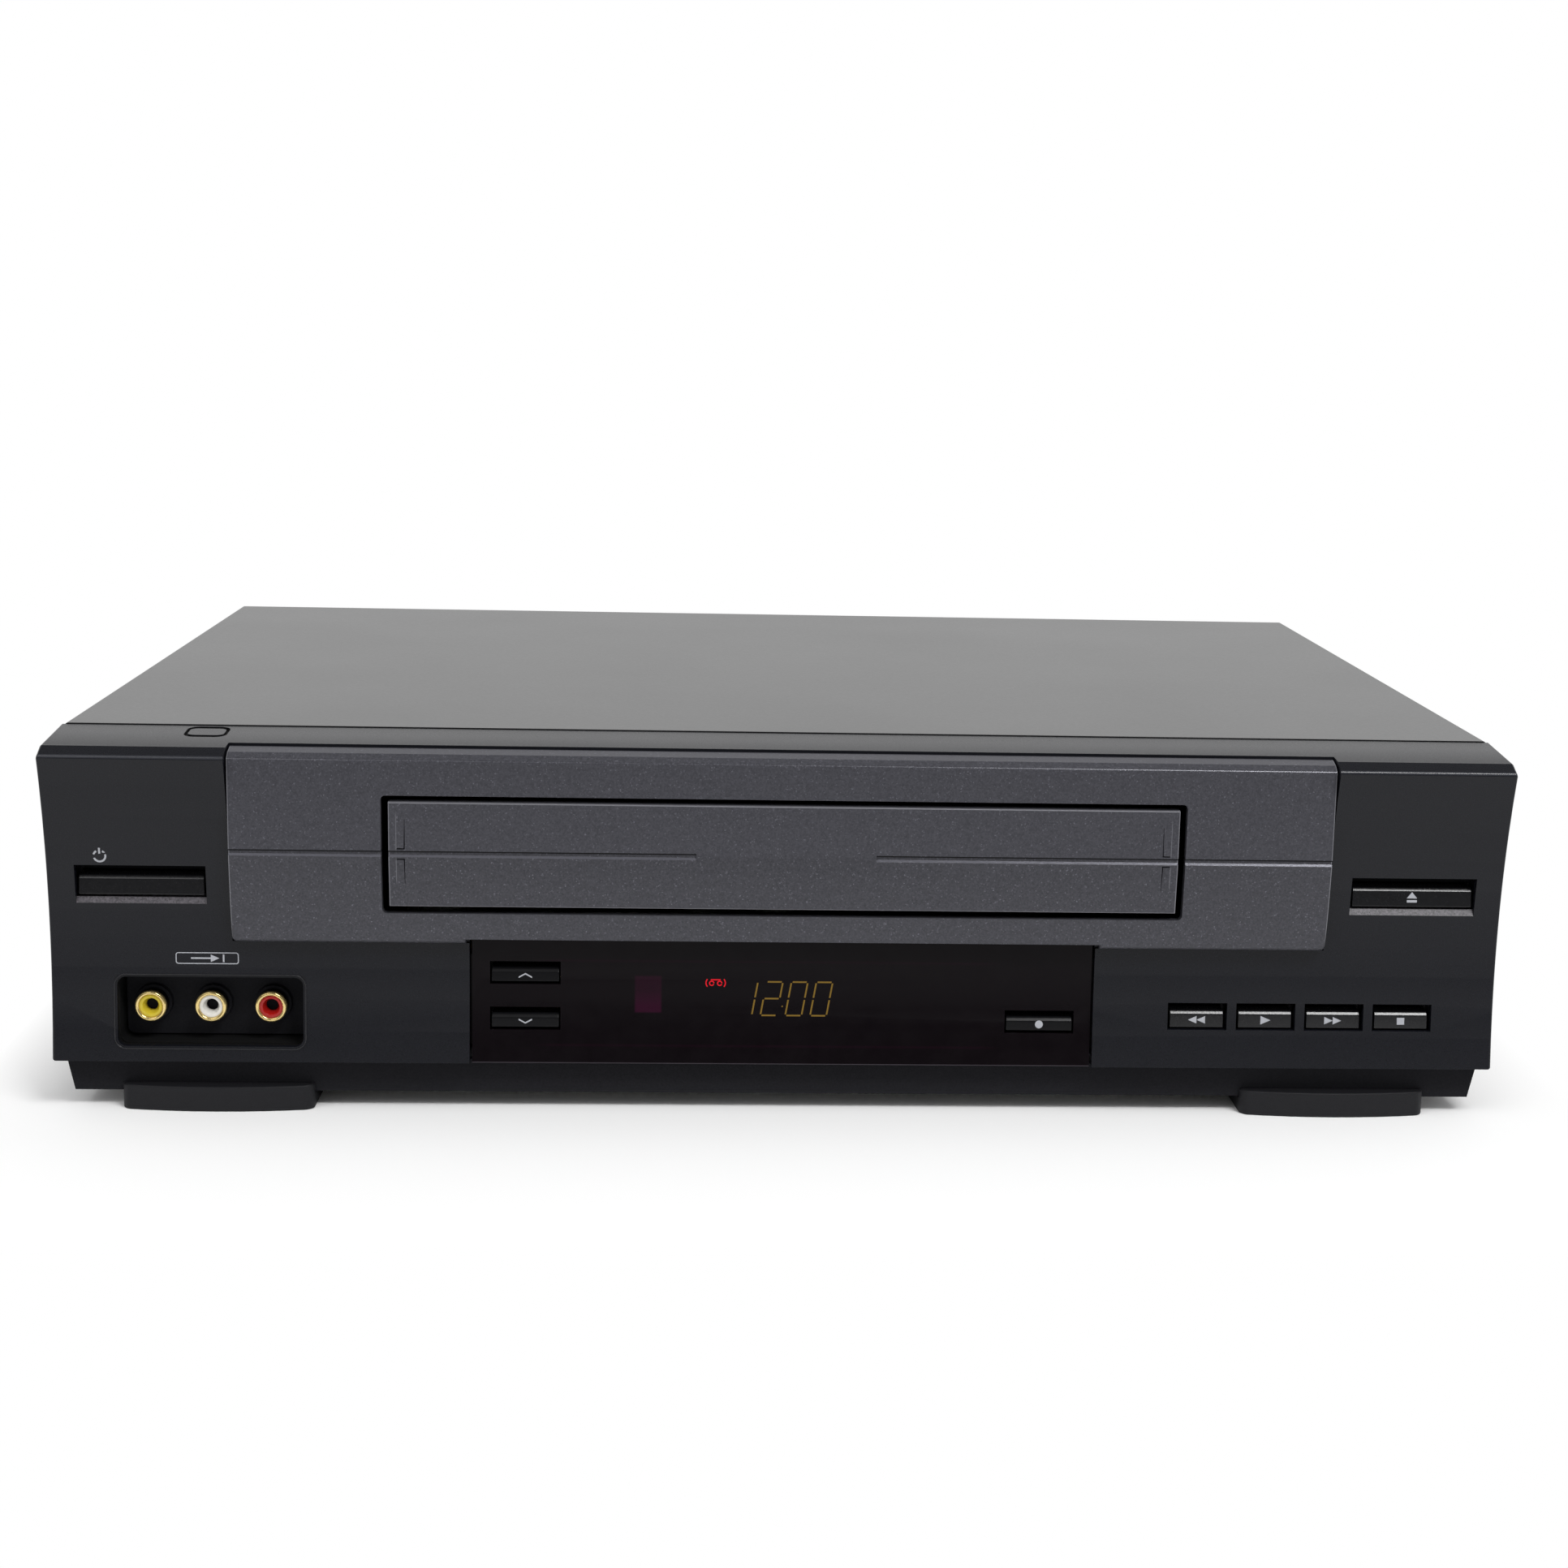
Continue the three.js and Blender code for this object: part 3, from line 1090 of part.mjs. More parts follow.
function upperDrum() {
  const { radius, lowerHeight, split, upperHeight, capRadius, capHeight, bevel } = drum;
  const low = lowerHeight + split;
  const high = low + upperHeight;
  return tilted(turned([
    [0, low], [radius, low], [radius, high - bevel], [radius - bevel, high], [capRadius, high],
    [capRadius, high + capHeight - bevel], [capRadius - bevel, high + capHeight], [0, high + capHeight],
  ], 0, 0, 28));
}

function pinchArm() {
  const toRoller = [pinch.rollerX - pinch.armX, pinch.rollerY - pinch.armY];
  const top = pinch.rollerBottom - gap;
  const middle = top - pinch.armThickness / 2;
  const outlined = wrapped([0, 0], pinch.hubRadius, toRoller, pinch.armWidth / 2);
  const body = addAll(extrudeUp(outlined, [top - pinch.armThickness, top], 8), [
    rod(pinch.hubRadius, 0, 0, [onDeck, middle], 12),
    rod(pinch.pinRadius, ...toRoller, [middle, pinch.rollerBottom + pinch.rollerHeight + gap], 12),
  ]);
  return body.subtract(rod(chassis.axleBore, 0, 0, [onDeck - overrun, top + overrun], 12));
}

// A post on a shoe, with a neck that runs in the chassis slot
function tapeGuide() {
  const { postTop, flange } = guide;
  const top = onDeck + guide.baseHeight;
  return addAll(block(around(0, guide.baseWidth), around(0, guide.baseDepth), [onDeck, top]), [
    rod(guide.postRadius, 0, 0, [top - overrun, postTop], 12),
    rod(guide.postRadius + flange, 0, 0, [postTop - flange, postTop], 12),
    rod(guide.neckRadius, 0, 0, [chassis.bottom - guide.neckDrop, onDeck + overrun], 12),
  ]);
}

function tensionArm() {
  const angle = THREE.MathUtils.degToRad(tension.angle);
  const tip = [tension.length * Math.cos(angle), tension.length * Math.sin(angle)];
  const zs = from(onDeck, tension.armThickness);
  let body = extrudeUp(wrapped([0, 0], tension.hubRadius, tip, tension.armWidth / 2), zs, 8);
  body = body.add(rod(tension.postRadius, ...tip, [zs[1] - overrun, tension.postTop], 12));
  return body.subtract(rod(chassis.axleBore, 0, 0, [zs[0] - overrun, zs[1] + overrun], 12));
}

function toothedCam() {
  const points = [];
  const step = (Math.PI * 2) / camGear.teeth;
  for (let i = 0; i < camGear.teeth; i += 1) {
    const root = camGear.radius - camGear.toothDepth;
    const places = [
      [root, 0], [root, camGear.rootShare],
      [camGear.radius, camGear.riseShare], [camGear.radius, camGear.crestShare],
    ];
    for (const [radius, toothShare] of places) {
      const angle = (i + toothShare) * step;
      points.push([radius * Math.cos(angle), radius * Math.sin(angle)]);
    }
  }
  const zs = from(onDeck, camGear.thickness);
  return extrudeUp(outline(points), zs).subtract(rod(chassis.axleBore, 0, 0, widened(zs, overrun), 12));
}

function loadingMotorBody() {
  const { y, radius, leftX, rightX, wormRadius, wormEndX, cradleDepth, cradleHeight } = loadingMotor;
  const axleZ = onDeck + cradleHeight / 2 + radius;
  return addAll(rodAlongX(radius, y, axleZ, [leftX, rightX], 16), [
    rodAlongX(wormRadius, y, axleZ, [rightX - overrun, wormEndX], 8),
    block([leftX + overrun, rightX - overrun], around(y, cradleDepth), from(onDeck, cradleHeight)),
  ]);
}

function headBlock(head) {
  return block(around(head.x, head.width), around(head.y, head.depth), [onDeck, head.top]);
}

function addDeck() {
  piece('deck_chassis', finishes.zincSteel, deckChassis());
  const table = reelTable();
  addTurning('supply_reel', finishes.blackPlastic, table, -reel.x, reel.y);
  addTurning('takeup_reel', finishes.blackPlastic, table, reel.x, reel.y);
  addTurning('clutch_pulley', finishes.whitePlastic, clutchPulley(), ...clutchPlace);
  addTurning('idler_arm', finishes.zincSteel, idlerSwingArm(), ...clutchPlace);
  const wheel = ringProfile(idler.pinRadius + gap, idler.radius, gearBottom, gearBottom + idler.thickness);
  addTurning('reel_idler', finishes.whitePlastic, turned(wheel, 0, 0, 20), ...idlerPlace);
  piece('reel_belt', finishes.rubber, driveBelt());
  piece('capstan_motor', finishes.zincSteel, capstanStator());
  addTurning('capstan_rotor', finishes.aluminium, capstanRotor(), ...capstanPlace);
  piece('lower_drum', finishes.aluminium, lowerDrum());
  piece('upper_drum', finishes.aluminium, upperDrum());
  addTurning('pinch_arm', finishes.zincSteel, pinchArm(), pinch.armX, pinch.armY);
  const roller = turned(ringProfile(pinch.pinRadius + gap, pinch.rollerRadius, pinch.rollerBottom,
    pinch.rollerBottom + pinch.rollerHeight), 0, 0, 16);
  addTurning('pinch_roller', finishes.rubber, roller, pinch.rollerX, pinch.rollerY);
  addTurning('supply_guide', finishes.aluminium, tapeGuide(), -guide.x, guide.y);
  addTurning('takeup_guide', finishes.aluminium, tapeGuide(), guide.x, guide.y);
  addTurning('tension_arm', finishes.zincSteel, tensionArm(), tension.x, tension.y);
  addTurning('cam_gear', finishes.whitePlastic, toothedCam(), camGear.x, camGear.y);
  piece('loading_motor', finishes.zincSteel, loadingMotorBody());
  piece('erase_head', finishes.aluminium, headBlock(eraseHead));
  piece('audio_head', finishes.aluminium, headBlock(audioHead));
}

// Cassette carriage

const holderPinYs = [holder.frontY + holder.pinInset, holder.backY - holder.pinInset];

function cassetteHolder() {
  const outer = holderHalf + holder.sheet;
  const ys = [holder.frontY, holder.backY + holder.stopReach];
  const low = holder.floorZ - holder.sheet;
  let body = block(both(outer), ys, [low, holderTop + holder.sheet]);
  const inset = holder.windowInset;
  body = subtractAll(body, [
    block(both(outer + overrun), [holder.backY, ys[1] + overrun], from(holderTop, holder.sheet + overrun)),
    block(both(holderHalf), widened(ys, overrun), [holder.floorZ, holderTop]),
    block(both(holderHalf - holder.railWidth), widened(ys, overrun),
      widened([low, holder.floorZ], overrun)),
    block(both(holderHalf - inset), [holder.frontY + inset, holder.backY - inset],
      widened(from(holderTop, holder.sheet), overrun)),
  ]);
  for (const side of [-1, 1]) {
    const stopX = between(side * outer, side * (holderHalf - holder.stopWidth));
    body = body.add(block(stopX, [ys[1] - holder.stopThickness, ys[1]], [low, holderTop]));
    const pinX = between(side * (outer - holder.sheet / 2), side * (sliderHalf + slider.sheet));
    body = addAll(body, holderPinYs.map((y) => rodAlongX(holder.pinRadius, y, holder.pinZ, pinX)));
  }
  return body;
}

function carriageSlider() {
  const top = holderTop + holder.sheet + slider.rise;
  const outer = sliderHalf + slider.sheet;
  let body = block(both(outer), from(slider.barFrontY, slider.barDepth), from(top, slider.sheet));
  const slot = holder.pinRadius + slider.slotGap;
  const ys = [slider.frontY, slider.backY];
  for (const side of [-1, 1]) {
    body = body.add(block(between(side * sliderHalf, side * outer), ys, [slider.bottom, top + slider.sheet]));
    const pinX = between(side * (outer - slider.sheet / 2), side * (chassisHalf + chassis.sheet));
    const pins = widened(ys, -slider.pinInset).map((y) => rodAlongX(holder.pinRadius, y, slider.pinZ, pinX));
    body = addAll(body, pins);
  }
  const slotZ = widened([holder.pinZ - slider.drop, holder.pinZ], slot);
  return subtractAll(body, holderPinYs.map((y) => block(both(outer + overrun), around(y, slot * 2), slotZ)));
}

function addCarriage() {
  piece('lift_slider', finishes.zincSteel, carriageSlider());
  piece('cassette_holder', finishes.zincSteel, cassetteHolder());
}

addCasing();
addKeys();
addFrontElectronics();
addBodyElectronics();
addDeck();
addCarriage();

export default recorder;
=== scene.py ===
import json
import math
from contextlib import contextmanager

import bmesh
import bpy
from mathutils import Matrix, Vector

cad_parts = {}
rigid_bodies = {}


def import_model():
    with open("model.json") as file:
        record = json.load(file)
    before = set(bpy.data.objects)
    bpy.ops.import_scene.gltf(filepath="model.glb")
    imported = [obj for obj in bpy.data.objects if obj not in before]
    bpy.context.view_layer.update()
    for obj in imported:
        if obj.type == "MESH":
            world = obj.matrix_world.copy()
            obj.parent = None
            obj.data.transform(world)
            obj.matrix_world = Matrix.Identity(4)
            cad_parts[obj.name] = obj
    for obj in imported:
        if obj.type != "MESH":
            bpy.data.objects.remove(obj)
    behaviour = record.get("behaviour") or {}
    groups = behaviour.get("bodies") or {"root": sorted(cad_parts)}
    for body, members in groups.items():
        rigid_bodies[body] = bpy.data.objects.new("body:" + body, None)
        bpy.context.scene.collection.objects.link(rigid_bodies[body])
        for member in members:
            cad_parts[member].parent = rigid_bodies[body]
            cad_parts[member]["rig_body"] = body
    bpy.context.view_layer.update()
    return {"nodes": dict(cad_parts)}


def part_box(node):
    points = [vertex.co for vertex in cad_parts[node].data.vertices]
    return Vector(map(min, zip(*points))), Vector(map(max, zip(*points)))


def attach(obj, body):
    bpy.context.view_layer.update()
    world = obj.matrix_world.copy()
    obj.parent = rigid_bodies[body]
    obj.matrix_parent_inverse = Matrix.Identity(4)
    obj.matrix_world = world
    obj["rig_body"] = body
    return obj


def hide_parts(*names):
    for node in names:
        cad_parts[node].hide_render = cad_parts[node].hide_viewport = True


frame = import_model()

# Base frame: the narrow black skirt under the casing, moulded in glass-filled plastic with a fine spark
# texture. It carries the bottom plate and the feet, and the casing's sheet metal screws to its rim.

mm = 0.001


class Value:
    """A number or vector that a pattern works out at each point; arithmetic on it adds the nodes."""

    def __init__(self, pattern, socket):
        self.pattern = pattern
        self.socket = socket

    def maths(self, operation, *operands):
        return self.pattern.node("ShaderNodeMath", {"operation": operation}, dict(enumerate(operands)))

    def __add__(self, other):
        return self.maths("ADD", self, other)

    def __radd__(self, other):
        return self.maths("ADD", other, self)

    def __sub__(self, other):
        return self.maths("SUBTRACT", self, other)

    def __rsub__(self, other):
        return self.maths("SUBTRACT", other, self)

    def __mul__(self, other):
        return self.maths("MULTIPLY", self, other)

    def __rmul__(self, other):
        return self.maths("MULTIPLY", other, self)

    def at_least(self, other):
        return self.maths("MAXIMUM", self, other)


class Pattern:
    """The shader nodes of a finish, or of the room round the object."""

    def __init__(self, owner, coordinates, output):
        owner.use_nodes = True
        self.tree = owner.node_tree
        self.tree.nodes.clear()
        self.output = self.tree.nodes.new(output)
        self.place = self.node("ShaderNodeTexCoord", {}, {}, coordinates)

    def feed(self, socket, value):
        if isinstance(value, Value):
            self.tree.links.new(value.socket, socket)
        else:
            socket.default_value = value

    def node(self, kind, settings, sockets, output=0):
        made = self.tree.nodes.new(kind)
        for setting, value in settings.items():
            setattr(made, setting, value)
        for socket, value in sockets.items():
            self.feed(made.inputs[socket], value)
        return Value(self, made.outputs[output])

    def axis(self, letter):
        return self.node("ShaderNodeSeparateXYZ", {}, {"Vector": self.place}, letter)

    def between(self, value, low, high, to_low=0, to_high=1):
        """Value mapped from one range to another, and held there."""
        return self.node("ShaderNodeMapRange", {"clamp": True}, {
            "Value": value, "From Min": low, "From Max": high, "To Min": to_low, "To Max": to_high})

    def mixed(self, share, low, high):
        """A shader between two shaders."""
        return self.node("ShaderNodeMixShader", {}, {0: share, 1: low, 2: high})

    def shows(self, shader):
        self.feed(self.output.inputs["Surface"], shader)


class Finish(Pattern):
    """A surface finish. Its pattern lies on the object's own coordinates, its measures in millimetres."""

    def __init__(self, name, colour, roughness, metallic=0.0, shine=0.5):
        self.material = bpy.data.materials.new(name)
        super().__init__(self.material, "Object", "ShaderNodeOutputMaterial")
        self.surface = self.tree.nodes.new("ShaderNodeBsdfPrincipled")
        self.shader = Value(self, self.surface.outputs["BSDF"])
        self.shows(self.shader)
        self.colour = rgb(colour)
        self.set("Base Color", self.colour)
        self.set("Roughness", roughness)
        self.set("Metallic", metallic)
        self.set("Specular IOR Level", shine)

    def set(self, socket, value):
        self.feed(self.surface.inputs[socket], value)

    def stretched(self, x, y, z):
        return self.node("ShaderNodeMapping", {}, {"Vector": self.place, "Scale": (x, y, z)})

    def noise(self, grain, detail=2.0, vector=None):
        """Smooth noise with features about grain across, from 0 to 1."""
        return self.node("ShaderNodeTexNoise", {}, {
            "Vector": vector or self.place, "Scale": 1 / (grain * mm), "Detail": detail})

    def spread(self, noise, low, high):
        """Noise, most of which lies between 0.3 and 0.7, spread out from low to high."""
        return self.between(noise, 0.3, 0.7, low, high)

    def cells(self, grain):
        """One random value for each cell about grain across."""
        return self.node("ShaderNodeTexVoronoi", {}, {
            "Vector": self.place, "Scale": 1 / (grain * mm)}, "Color")

    def past(self, letter, start, full):
        """0 up to a place along one axis and 1 from another place on."""
        return self.between(self.axis(letter), start * mm, full * mm)

    def patch(self, fade, **spans):
        """1 between the two places given along each axis and 0 from fade outside them."""
        share = 1
        for letter, (low, high) in spans.items():
            share = share * self.past(letter, low - fade, low) * self.past(letter, high + fade, high)
        return share

    def blend(self, share, low, high):
        """A colour between two colours."""
        return self.node("ShaderNodeMix", {"data_type": "RGBA"}, {0: share, 6: low, 7: high}, 2)

    def tone(self, number):
        """The base colour times a number."""
        return tuple(c * number for c in self.colour[:3]) + (1.0,)

    def shades(self, share, darker, lighter):
        return self.blend(share, self.tone(darker), self.tone(lighter))

    def shaded(self, share, darker, lighter):
        self.set("Base Color", self.shades(share, darker, lighter))

    def bump(self, height, depth, strength):
        """Raises the surface by depth where height is 1."""
        self.set("Normal", self.node("ShaderNodeBump", {}, {
            "Height": height, "Distance": depth * mm, "Strength": strength}))

    def grained(self, pattern, darker, lighter, depth, strength):
        """A pattern that shades the surface and raises it as well."""
        self.shaded(pattern, darker, lighter)
        self.bump(pattern, depth, strength)


def rgb(code):
    """An sRGB colour such as 0x2c2d30 as the linear colour that a shader takes."""
    channels = [((code >> shift) & 255) / 255 for shift in (16, 8, 0)]
    return tuple(c / 12.92 if c <= 0.04045 else ((c + 0.055) / 1.055) ** 2.4 for c in channels) + (1.0,)


def only(*pieces):
    """Selects these pieces and nothing else; the last one is the active one."""
    bpy.ops.object.select_all(action="DESELECT")
    for piece in pieces:
        piece.select_set(True)
        bpy.context.view_layer.objects.active = piece


@contextmanager
def editing(piece):
    """Opens a piece for work on its faces, all of them selected, and closes it afterwards."""
    only(piece)
    bpy.ops.object.mode_set(mode="EDIT")
    bpy.ops.mesh.select_all(action="SELECT")
    yield
    bpy.ops.object.mode_set(mode="OBJECT")


def modified(piece, kind, **settings):
    """Runs one of Blender's modifiers on a piece."""
    only(piece)
    change = piece.modifiers.new(kind.lower(), kind)
    for setting, value in settings.items():
        setattr(change, setting, value)
    bpy.ops.object.modifier_apply(modifier=change.name)


def smoothed(piece, degrees):
    """Shades a piece smoothly over the edges that are flatter than some degrees."""
    only(piece)
    bpy.ops.object.shade_smooth_by_angle(angle=math.radians(degrees))
    return piece


def copied(name):
    """A copy of a CAD piece, with its loose triangles joined into whole faces."""
    piece = bpy.data.objects.new(name + "_made", frame["nodes"][name].data.copy())
    bpy.context.collection.objects.link(piece)
    with editing(piece):
        bpy.ops.mesh.remove_doubles(threshold=2e-6)
        bpy.ops.mesh.dissolve_limited(angle_limit=math.radians(0.6), use_dissolve_boundaries=False)
    return piece


def line_middle(line):
    return (line.verts[0].co + line.verts[1].co) / 2


def rounded(piece, edge, segments=2, share=lambda place: 1.0, sharpest=30, clamped=True):
    """Rounds each edge sharper than some degrees by edge metres, times a share that its place may set."""
    shape = bmesh.new()
    shape.from_mesh(piece.data)
    weights, label = shape.edges.layers.float, "bevel_weight_edge"
    weight = weights.get(label) or weights.new(label)
    for line in shape.edges:
        sharp = len(line.link_faces) == 2 and line.calc_face_angle() > math.radians(sharpest)
        line[weight] = share(line_middle(line)) if sharp else 0.0
    shape.to_mesh(piece.data)
    shape.free()
    modified(piece, "BEVEL", width=edge, segments=segments, limit_method="WEIGHT", use_clamp_overlap=clamped)
    smoothed(piece, 32)
    modified(piece, "WEIGHTED_NORMAL", keep_sharp=True)
    return piece


def added(piece, finish, body="case"):
    """Puts a finish on a piece and makes it move with a body."""
    piece.data.materials.clear()
    piece.data.materials.append(finish.material)
    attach(piece, body)
    return piece


def stands_for(piece, name, finish):
    """Puts a finish on a piece that takes a CAD piece's place and moves as it does."""
    added(piece, finish, frame["nodes"][name]["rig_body"])
    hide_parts(name)


def dressed(name, finish, edge, segments=2):
    """A CAD piece with a finish, its edges rounded by edge millimetres."""
    stands_for(rounded(copied(name), edge * mm, segments), name, finish)


skirt_plastic = Finish("spark_textured_black", 0x212124, 0.5, shine=0.03)
skirt_plastic.grained(skirt_plastic.noise(0.5, 3), 0.75, 1.3, 0.05, 0.5)
dressed("base_frame", skirt_plastic, 0.3)

# Feet: two wide ones under the front, with bowed fronts, and two round pads at the back. They are
# moulded in dark rubberised plastic and pushed up into the bottom plate.

foot_rubber = Finish("foot_rubber", 0x1c1c1f, 0.5, shine=0.2)
foot_rubber.grained(foot_rubber.noise(0.4, 3), 0.8, 1.25, 0.06, 0.5)
for name in ("rear_foot_left", "rear_foot_right"):
    dressed(name, foot_rubber, 0.6, 3)


def near(value, place, reach=0.1 * mm):
    """Whether a value lies within reach of a place."""
    return abs(value - place) < reach


foot_front_y, foot_widening = -136.2 * mm, 0.6 * mm


def front_corner(place):
    """The two upright corners at the ends of a foot's bowed front."""
    return 1.0 if near(place.y, foot_front_y) and 1 * mm < place.z < 6 * mm else 0.0


for name in ("front_foot_left", "front_foot_right"):
    foot = copied(name)
    for corner in foot.data.vertices:
        corner.co.x += math.copysign(foot_widening, corner.co.x)
    rounded(foot, 2.4 * mm, 6, front_corner, clamped=False)
    rounded(foot, 0.6 * mm, 3)
    stands_for(foot, name, foot_rubber)

# Bottom plate and rear panel: zinc-plated steel sheet, punched and folded. The zinc is cloudy, and the
# rolling of the sheet leaves a faint grain. A dark field is screen-printed round the rear sockets.


def sheet_pattern(finish, cloud_size):
    """Gives a finish the grain of rolled sheet; returns the cloudy zinc's shading and its roughness."""
    cloud = finish.noise(cloud_size, 4)
    grain = finish.noise(0.6, vector=finish.stretched(0.06, 1, 1))
    finish.bump(grain, 0.02, 0.35)
    return cloud * 0.6 + grain * 0.4, finish.spread(cloud, 0.36, 0.48)


zinc = Finish("zinc_plated_sheet", 0xa3a49f, 0.42, 0.9)
zinc_shading, zinc_roughness = sheet_pattern(zinc, 12)
zinc.shaded(zinc_shading, 0.84, 1.1)
zinc.set("Roughness", zinc_roughness)
dressed("bottom_plate", zinc, 0.2, 1)

rear_metallic = 0.85
rear_steel = Finish("printed_rear_steel", 0xa9aaa6, 0.42, rear_metallic)
rear_shading, rear_roughness = sheet_pattern(rear_steel, 14)
jacks_low, jacks_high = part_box("rear_jack_block")
tuner_low, tuner_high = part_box("tuner_box")
field_margin, field_line = 3.5, 0.5


def printed_field(inset):
    """1 on the dark field round the rear sockets, which reaches over the aerial sockets as well."""
    return rear_steel.patch(
        0.05, X=(tuner_low[0] / mm - field_margin + inset, jacks_high[0] / mm - inset),
        Z=(jacks_low[2] / mm + field_margin / 2 + inset, jacks_high[2] / mm - inset))


whole_field = printed_field(0)
bordered = rear_steel.blend(whole_field, rear_steel.shades(rear_shading, 0.84, 1.08), rgb(0xc8c8c4))
rear_steel.set("Base Color", rear_steel.blend(printed_field(field_line), bordered, rgb(0x17171a)))
rear_steel.set("Metallic", rear_metallic - whole_field * rear_metallic)
rear_steel.set("Roughness", rear_roughness + whole_field * 0.1)
dressed("rear_panel", rear_steel, 0.2, 1)


def carved(piece, cutter):
    """Cuts one piece out of another and throws the cutter away."""
    modified(piece, "BOOLEAN", operation="DIFFERENCE", object=cutter)
    bpy.data.objects.remove(cutter)


screw_steel = Finish("blackened_screw_steel", 0x4c4c50, 0.35, 0.9)
wear = screw_steel.noise(0.4, 3)
screw_steel.shaded(wear, 0.7, 1.3)
screw_steel.set("Roughness", screw_steel.spread(wear, 0.28, 0.44))


def screwed(kind, places, outward, height, radius=3 * mm):
    """Fits screws at these places: pan heads with a cross recess, facing outward."""
    only()
    bpy.ops.mesh.primitive_cylinder_add(vertices=24, radius=radius, depth=height, location=(0, 0, height / 2))
    master = bpy.context.active_object
    bpy.ops.object.transform_apply(location=True)
    for turn in (0, math.pi / 2):
        only()
        bpy.ops.mesh.primitive_cube_add(size=1, location=(0, 0, height), rotation=(0, 0, turn),
                                        scale=(radius * 1.15, radius * 0.3, height * 1.1))
        carved(master, bpy.context.active_object)
    rounded(master, height * 0.3)
    facing = Vector(outward).to_track_quat("Z", "Y").to_matrix().to_4x4()
    for count, place in enumerate(places):
        head = bpy.data.objects.new(f"{kind}_{count + 1}", master.data.copy())
        bpy.context.collection.objects.link(head)
        head.data.transform(Matrix.Translation(place) @ facing)
        added(head, screw_steel)
    bpy.data.objects.remove(master)


rear_half, rear_face, rear_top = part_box("rear_panel")[1]
screwed("rear_screw", [
    (share * rear_half, rear_face, z) for z, shares in (
        (rear_top - 6 * mm, (-0.93, -0.31, 0.31, 0.93)), (14 * mm, (-0.93, -0.2, 0.45)))
    for share in shares], (0, 1, 0), 1.3 * mm)

# Front bezel: one long shell moulded in charcoal ABS with a fine satin texture. Its front is a shallow
# hollow arc from top to bottom, and its top slopes down to a chamfer. Light ink marks are printed on it.

seam_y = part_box("top_cover")[0][1] - 0.3 * mm
bezel_low, bezel_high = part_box("front_bezel")
arc_radius, arc_deepest_y, arc_deepest_z = 184 * mm, seam_y - 17.8 * mm, 41 * mm
chamfer_foot_z, chamfer_top_y = 95.3 * mm, seam_y - 21.69 * mm
top_slope = 1.9 * mm / (seam_y - chamfer_top_y)


def face_y(z):
    """How far forward the bezel's hollow front reaches at a height."""
    return arc_deepest_y - arc_radius + math.sqrt(arc_radius ** 2 - (z - arc_deepest_z) ** 2)


def steps(low, high, step):
    """Evenly spaced places between two others, about a step apart."""
    count = max(1, round((high - low) / step))
    return [low + (high - low) * i / count for i in range(1, count)]


def hollowed(piece, depth, across, upward):
    """Cuts a hollow front, set back by depth, at these places, and brings its points onto the true arc, so
    that light runs evenly over it."""
    def on_arc(face):
        return face.normal.y <= -0.7 and all(
            near(corner.co.y - face_y(corner.co.z), depth, 0.08 * mm) for corner in face.verts)

    with editing(piece):
        for axis, places in ((0, across), (2, upward)):
            for place in places:
                shape = bmesh.from_edit_mesh(piece.data)
                for face in shape.faces:
                    face.select_set(on_arc(face))
                shape.select_flush_mode()
                point, normal = [0, 0, 0], [0, 0, 0]
                point[axis], normal[axis] = place, 1
                bpy.ops.mesh.bisect(plane_co=point, plane_no=normal)
    shape = bmesh.new()
    shape.from_mesh(piece.data)
    for corner in {corner for face in shape.faces if on_arc(face) for corner in face.verts}:
        corner.co.y = face_y(corner.co.z) + depth
    shape.to_mesh(piece.data)
    shape.free()


def arc_points(x, z, radius, start, end, count):
    """Points along an arc round (x, z), its angles in degrees anticlockwise from the right."""
    angles = [math.radians(start + (end - start) * i / count) for i in range(count + 1)]
    return [(x + radius * math.cos(a), z + radius * math.sin(a)) for a in angles]


def rounded_box(x0, x1, z0, z1, corner, count=6):
    """The outline of a box with rounded corners."""
    return (arc_points(x1 - corner, z1 - corner, corner, 0, 90, count)
            + arc_points(x0 + corner, z1 - corner, corner, 90, 180, count)
            + arc_points(x0 + corner, z0 + corner, corner, 180, 270, count)
            + arc_points(x1 - corner, z0 + corner, corner, 270, 360, count))


def outlined(name, places, fill):
    """A closed outline through these places."""
    only()
    bpy.ops.mesh.primitive_circle_add(vertices=len(places), radius=1, fill_type=fill)
    piece = bpy.context.active_object
    piece.name = name
    for corner, place in zip(piece.data.vertices, places):
        corner.co = place
    return piece


def slab(name, points, line=None):
    """A flat outline of (x, z) millimetres at y = 0, filled, or drawn as a line that is so many wide."""
    piece = outlined(name, [(x * mm, 0, z * mm) for x, z in points], "NGON")
    if line:
        with editing(piece):
            bpy.ops.mesh.inset(thickness=line * mm)
            bpy.ops.mesh.delete(type="FACE")
    return piece


def drawn_out(piece, way):
    """Gives a flat piece its thickness, along a vector."""
    with editing(piece):
        bpy.ops.mesh.extrude_region_move(TRANSFORM_OT_translate={"value": way})
        bpy.ops.mesh.select_all(action="SELECT")
        bpy.ops.mesh.normals_make_consistent(inside=False)
    return piece


def thickened(piece, front, depth):
    """Lays a flat piece against a surface, whose y front gives at each z, and makes it depth thick."""
    for corner in piece.data.vertices:
        corner.co.y = front(corner.co.z)
    return drawn_out(piece, (0, depth, 0))


def joined(name, parts):
    """Several flat parts as one piece."""
    only(*parts)
    if len(parts) > 1:
        bpy.ops.object.join()
    piece = bpy.context.active_object
    piece.name = name
    piece.data.name = name
    return piece


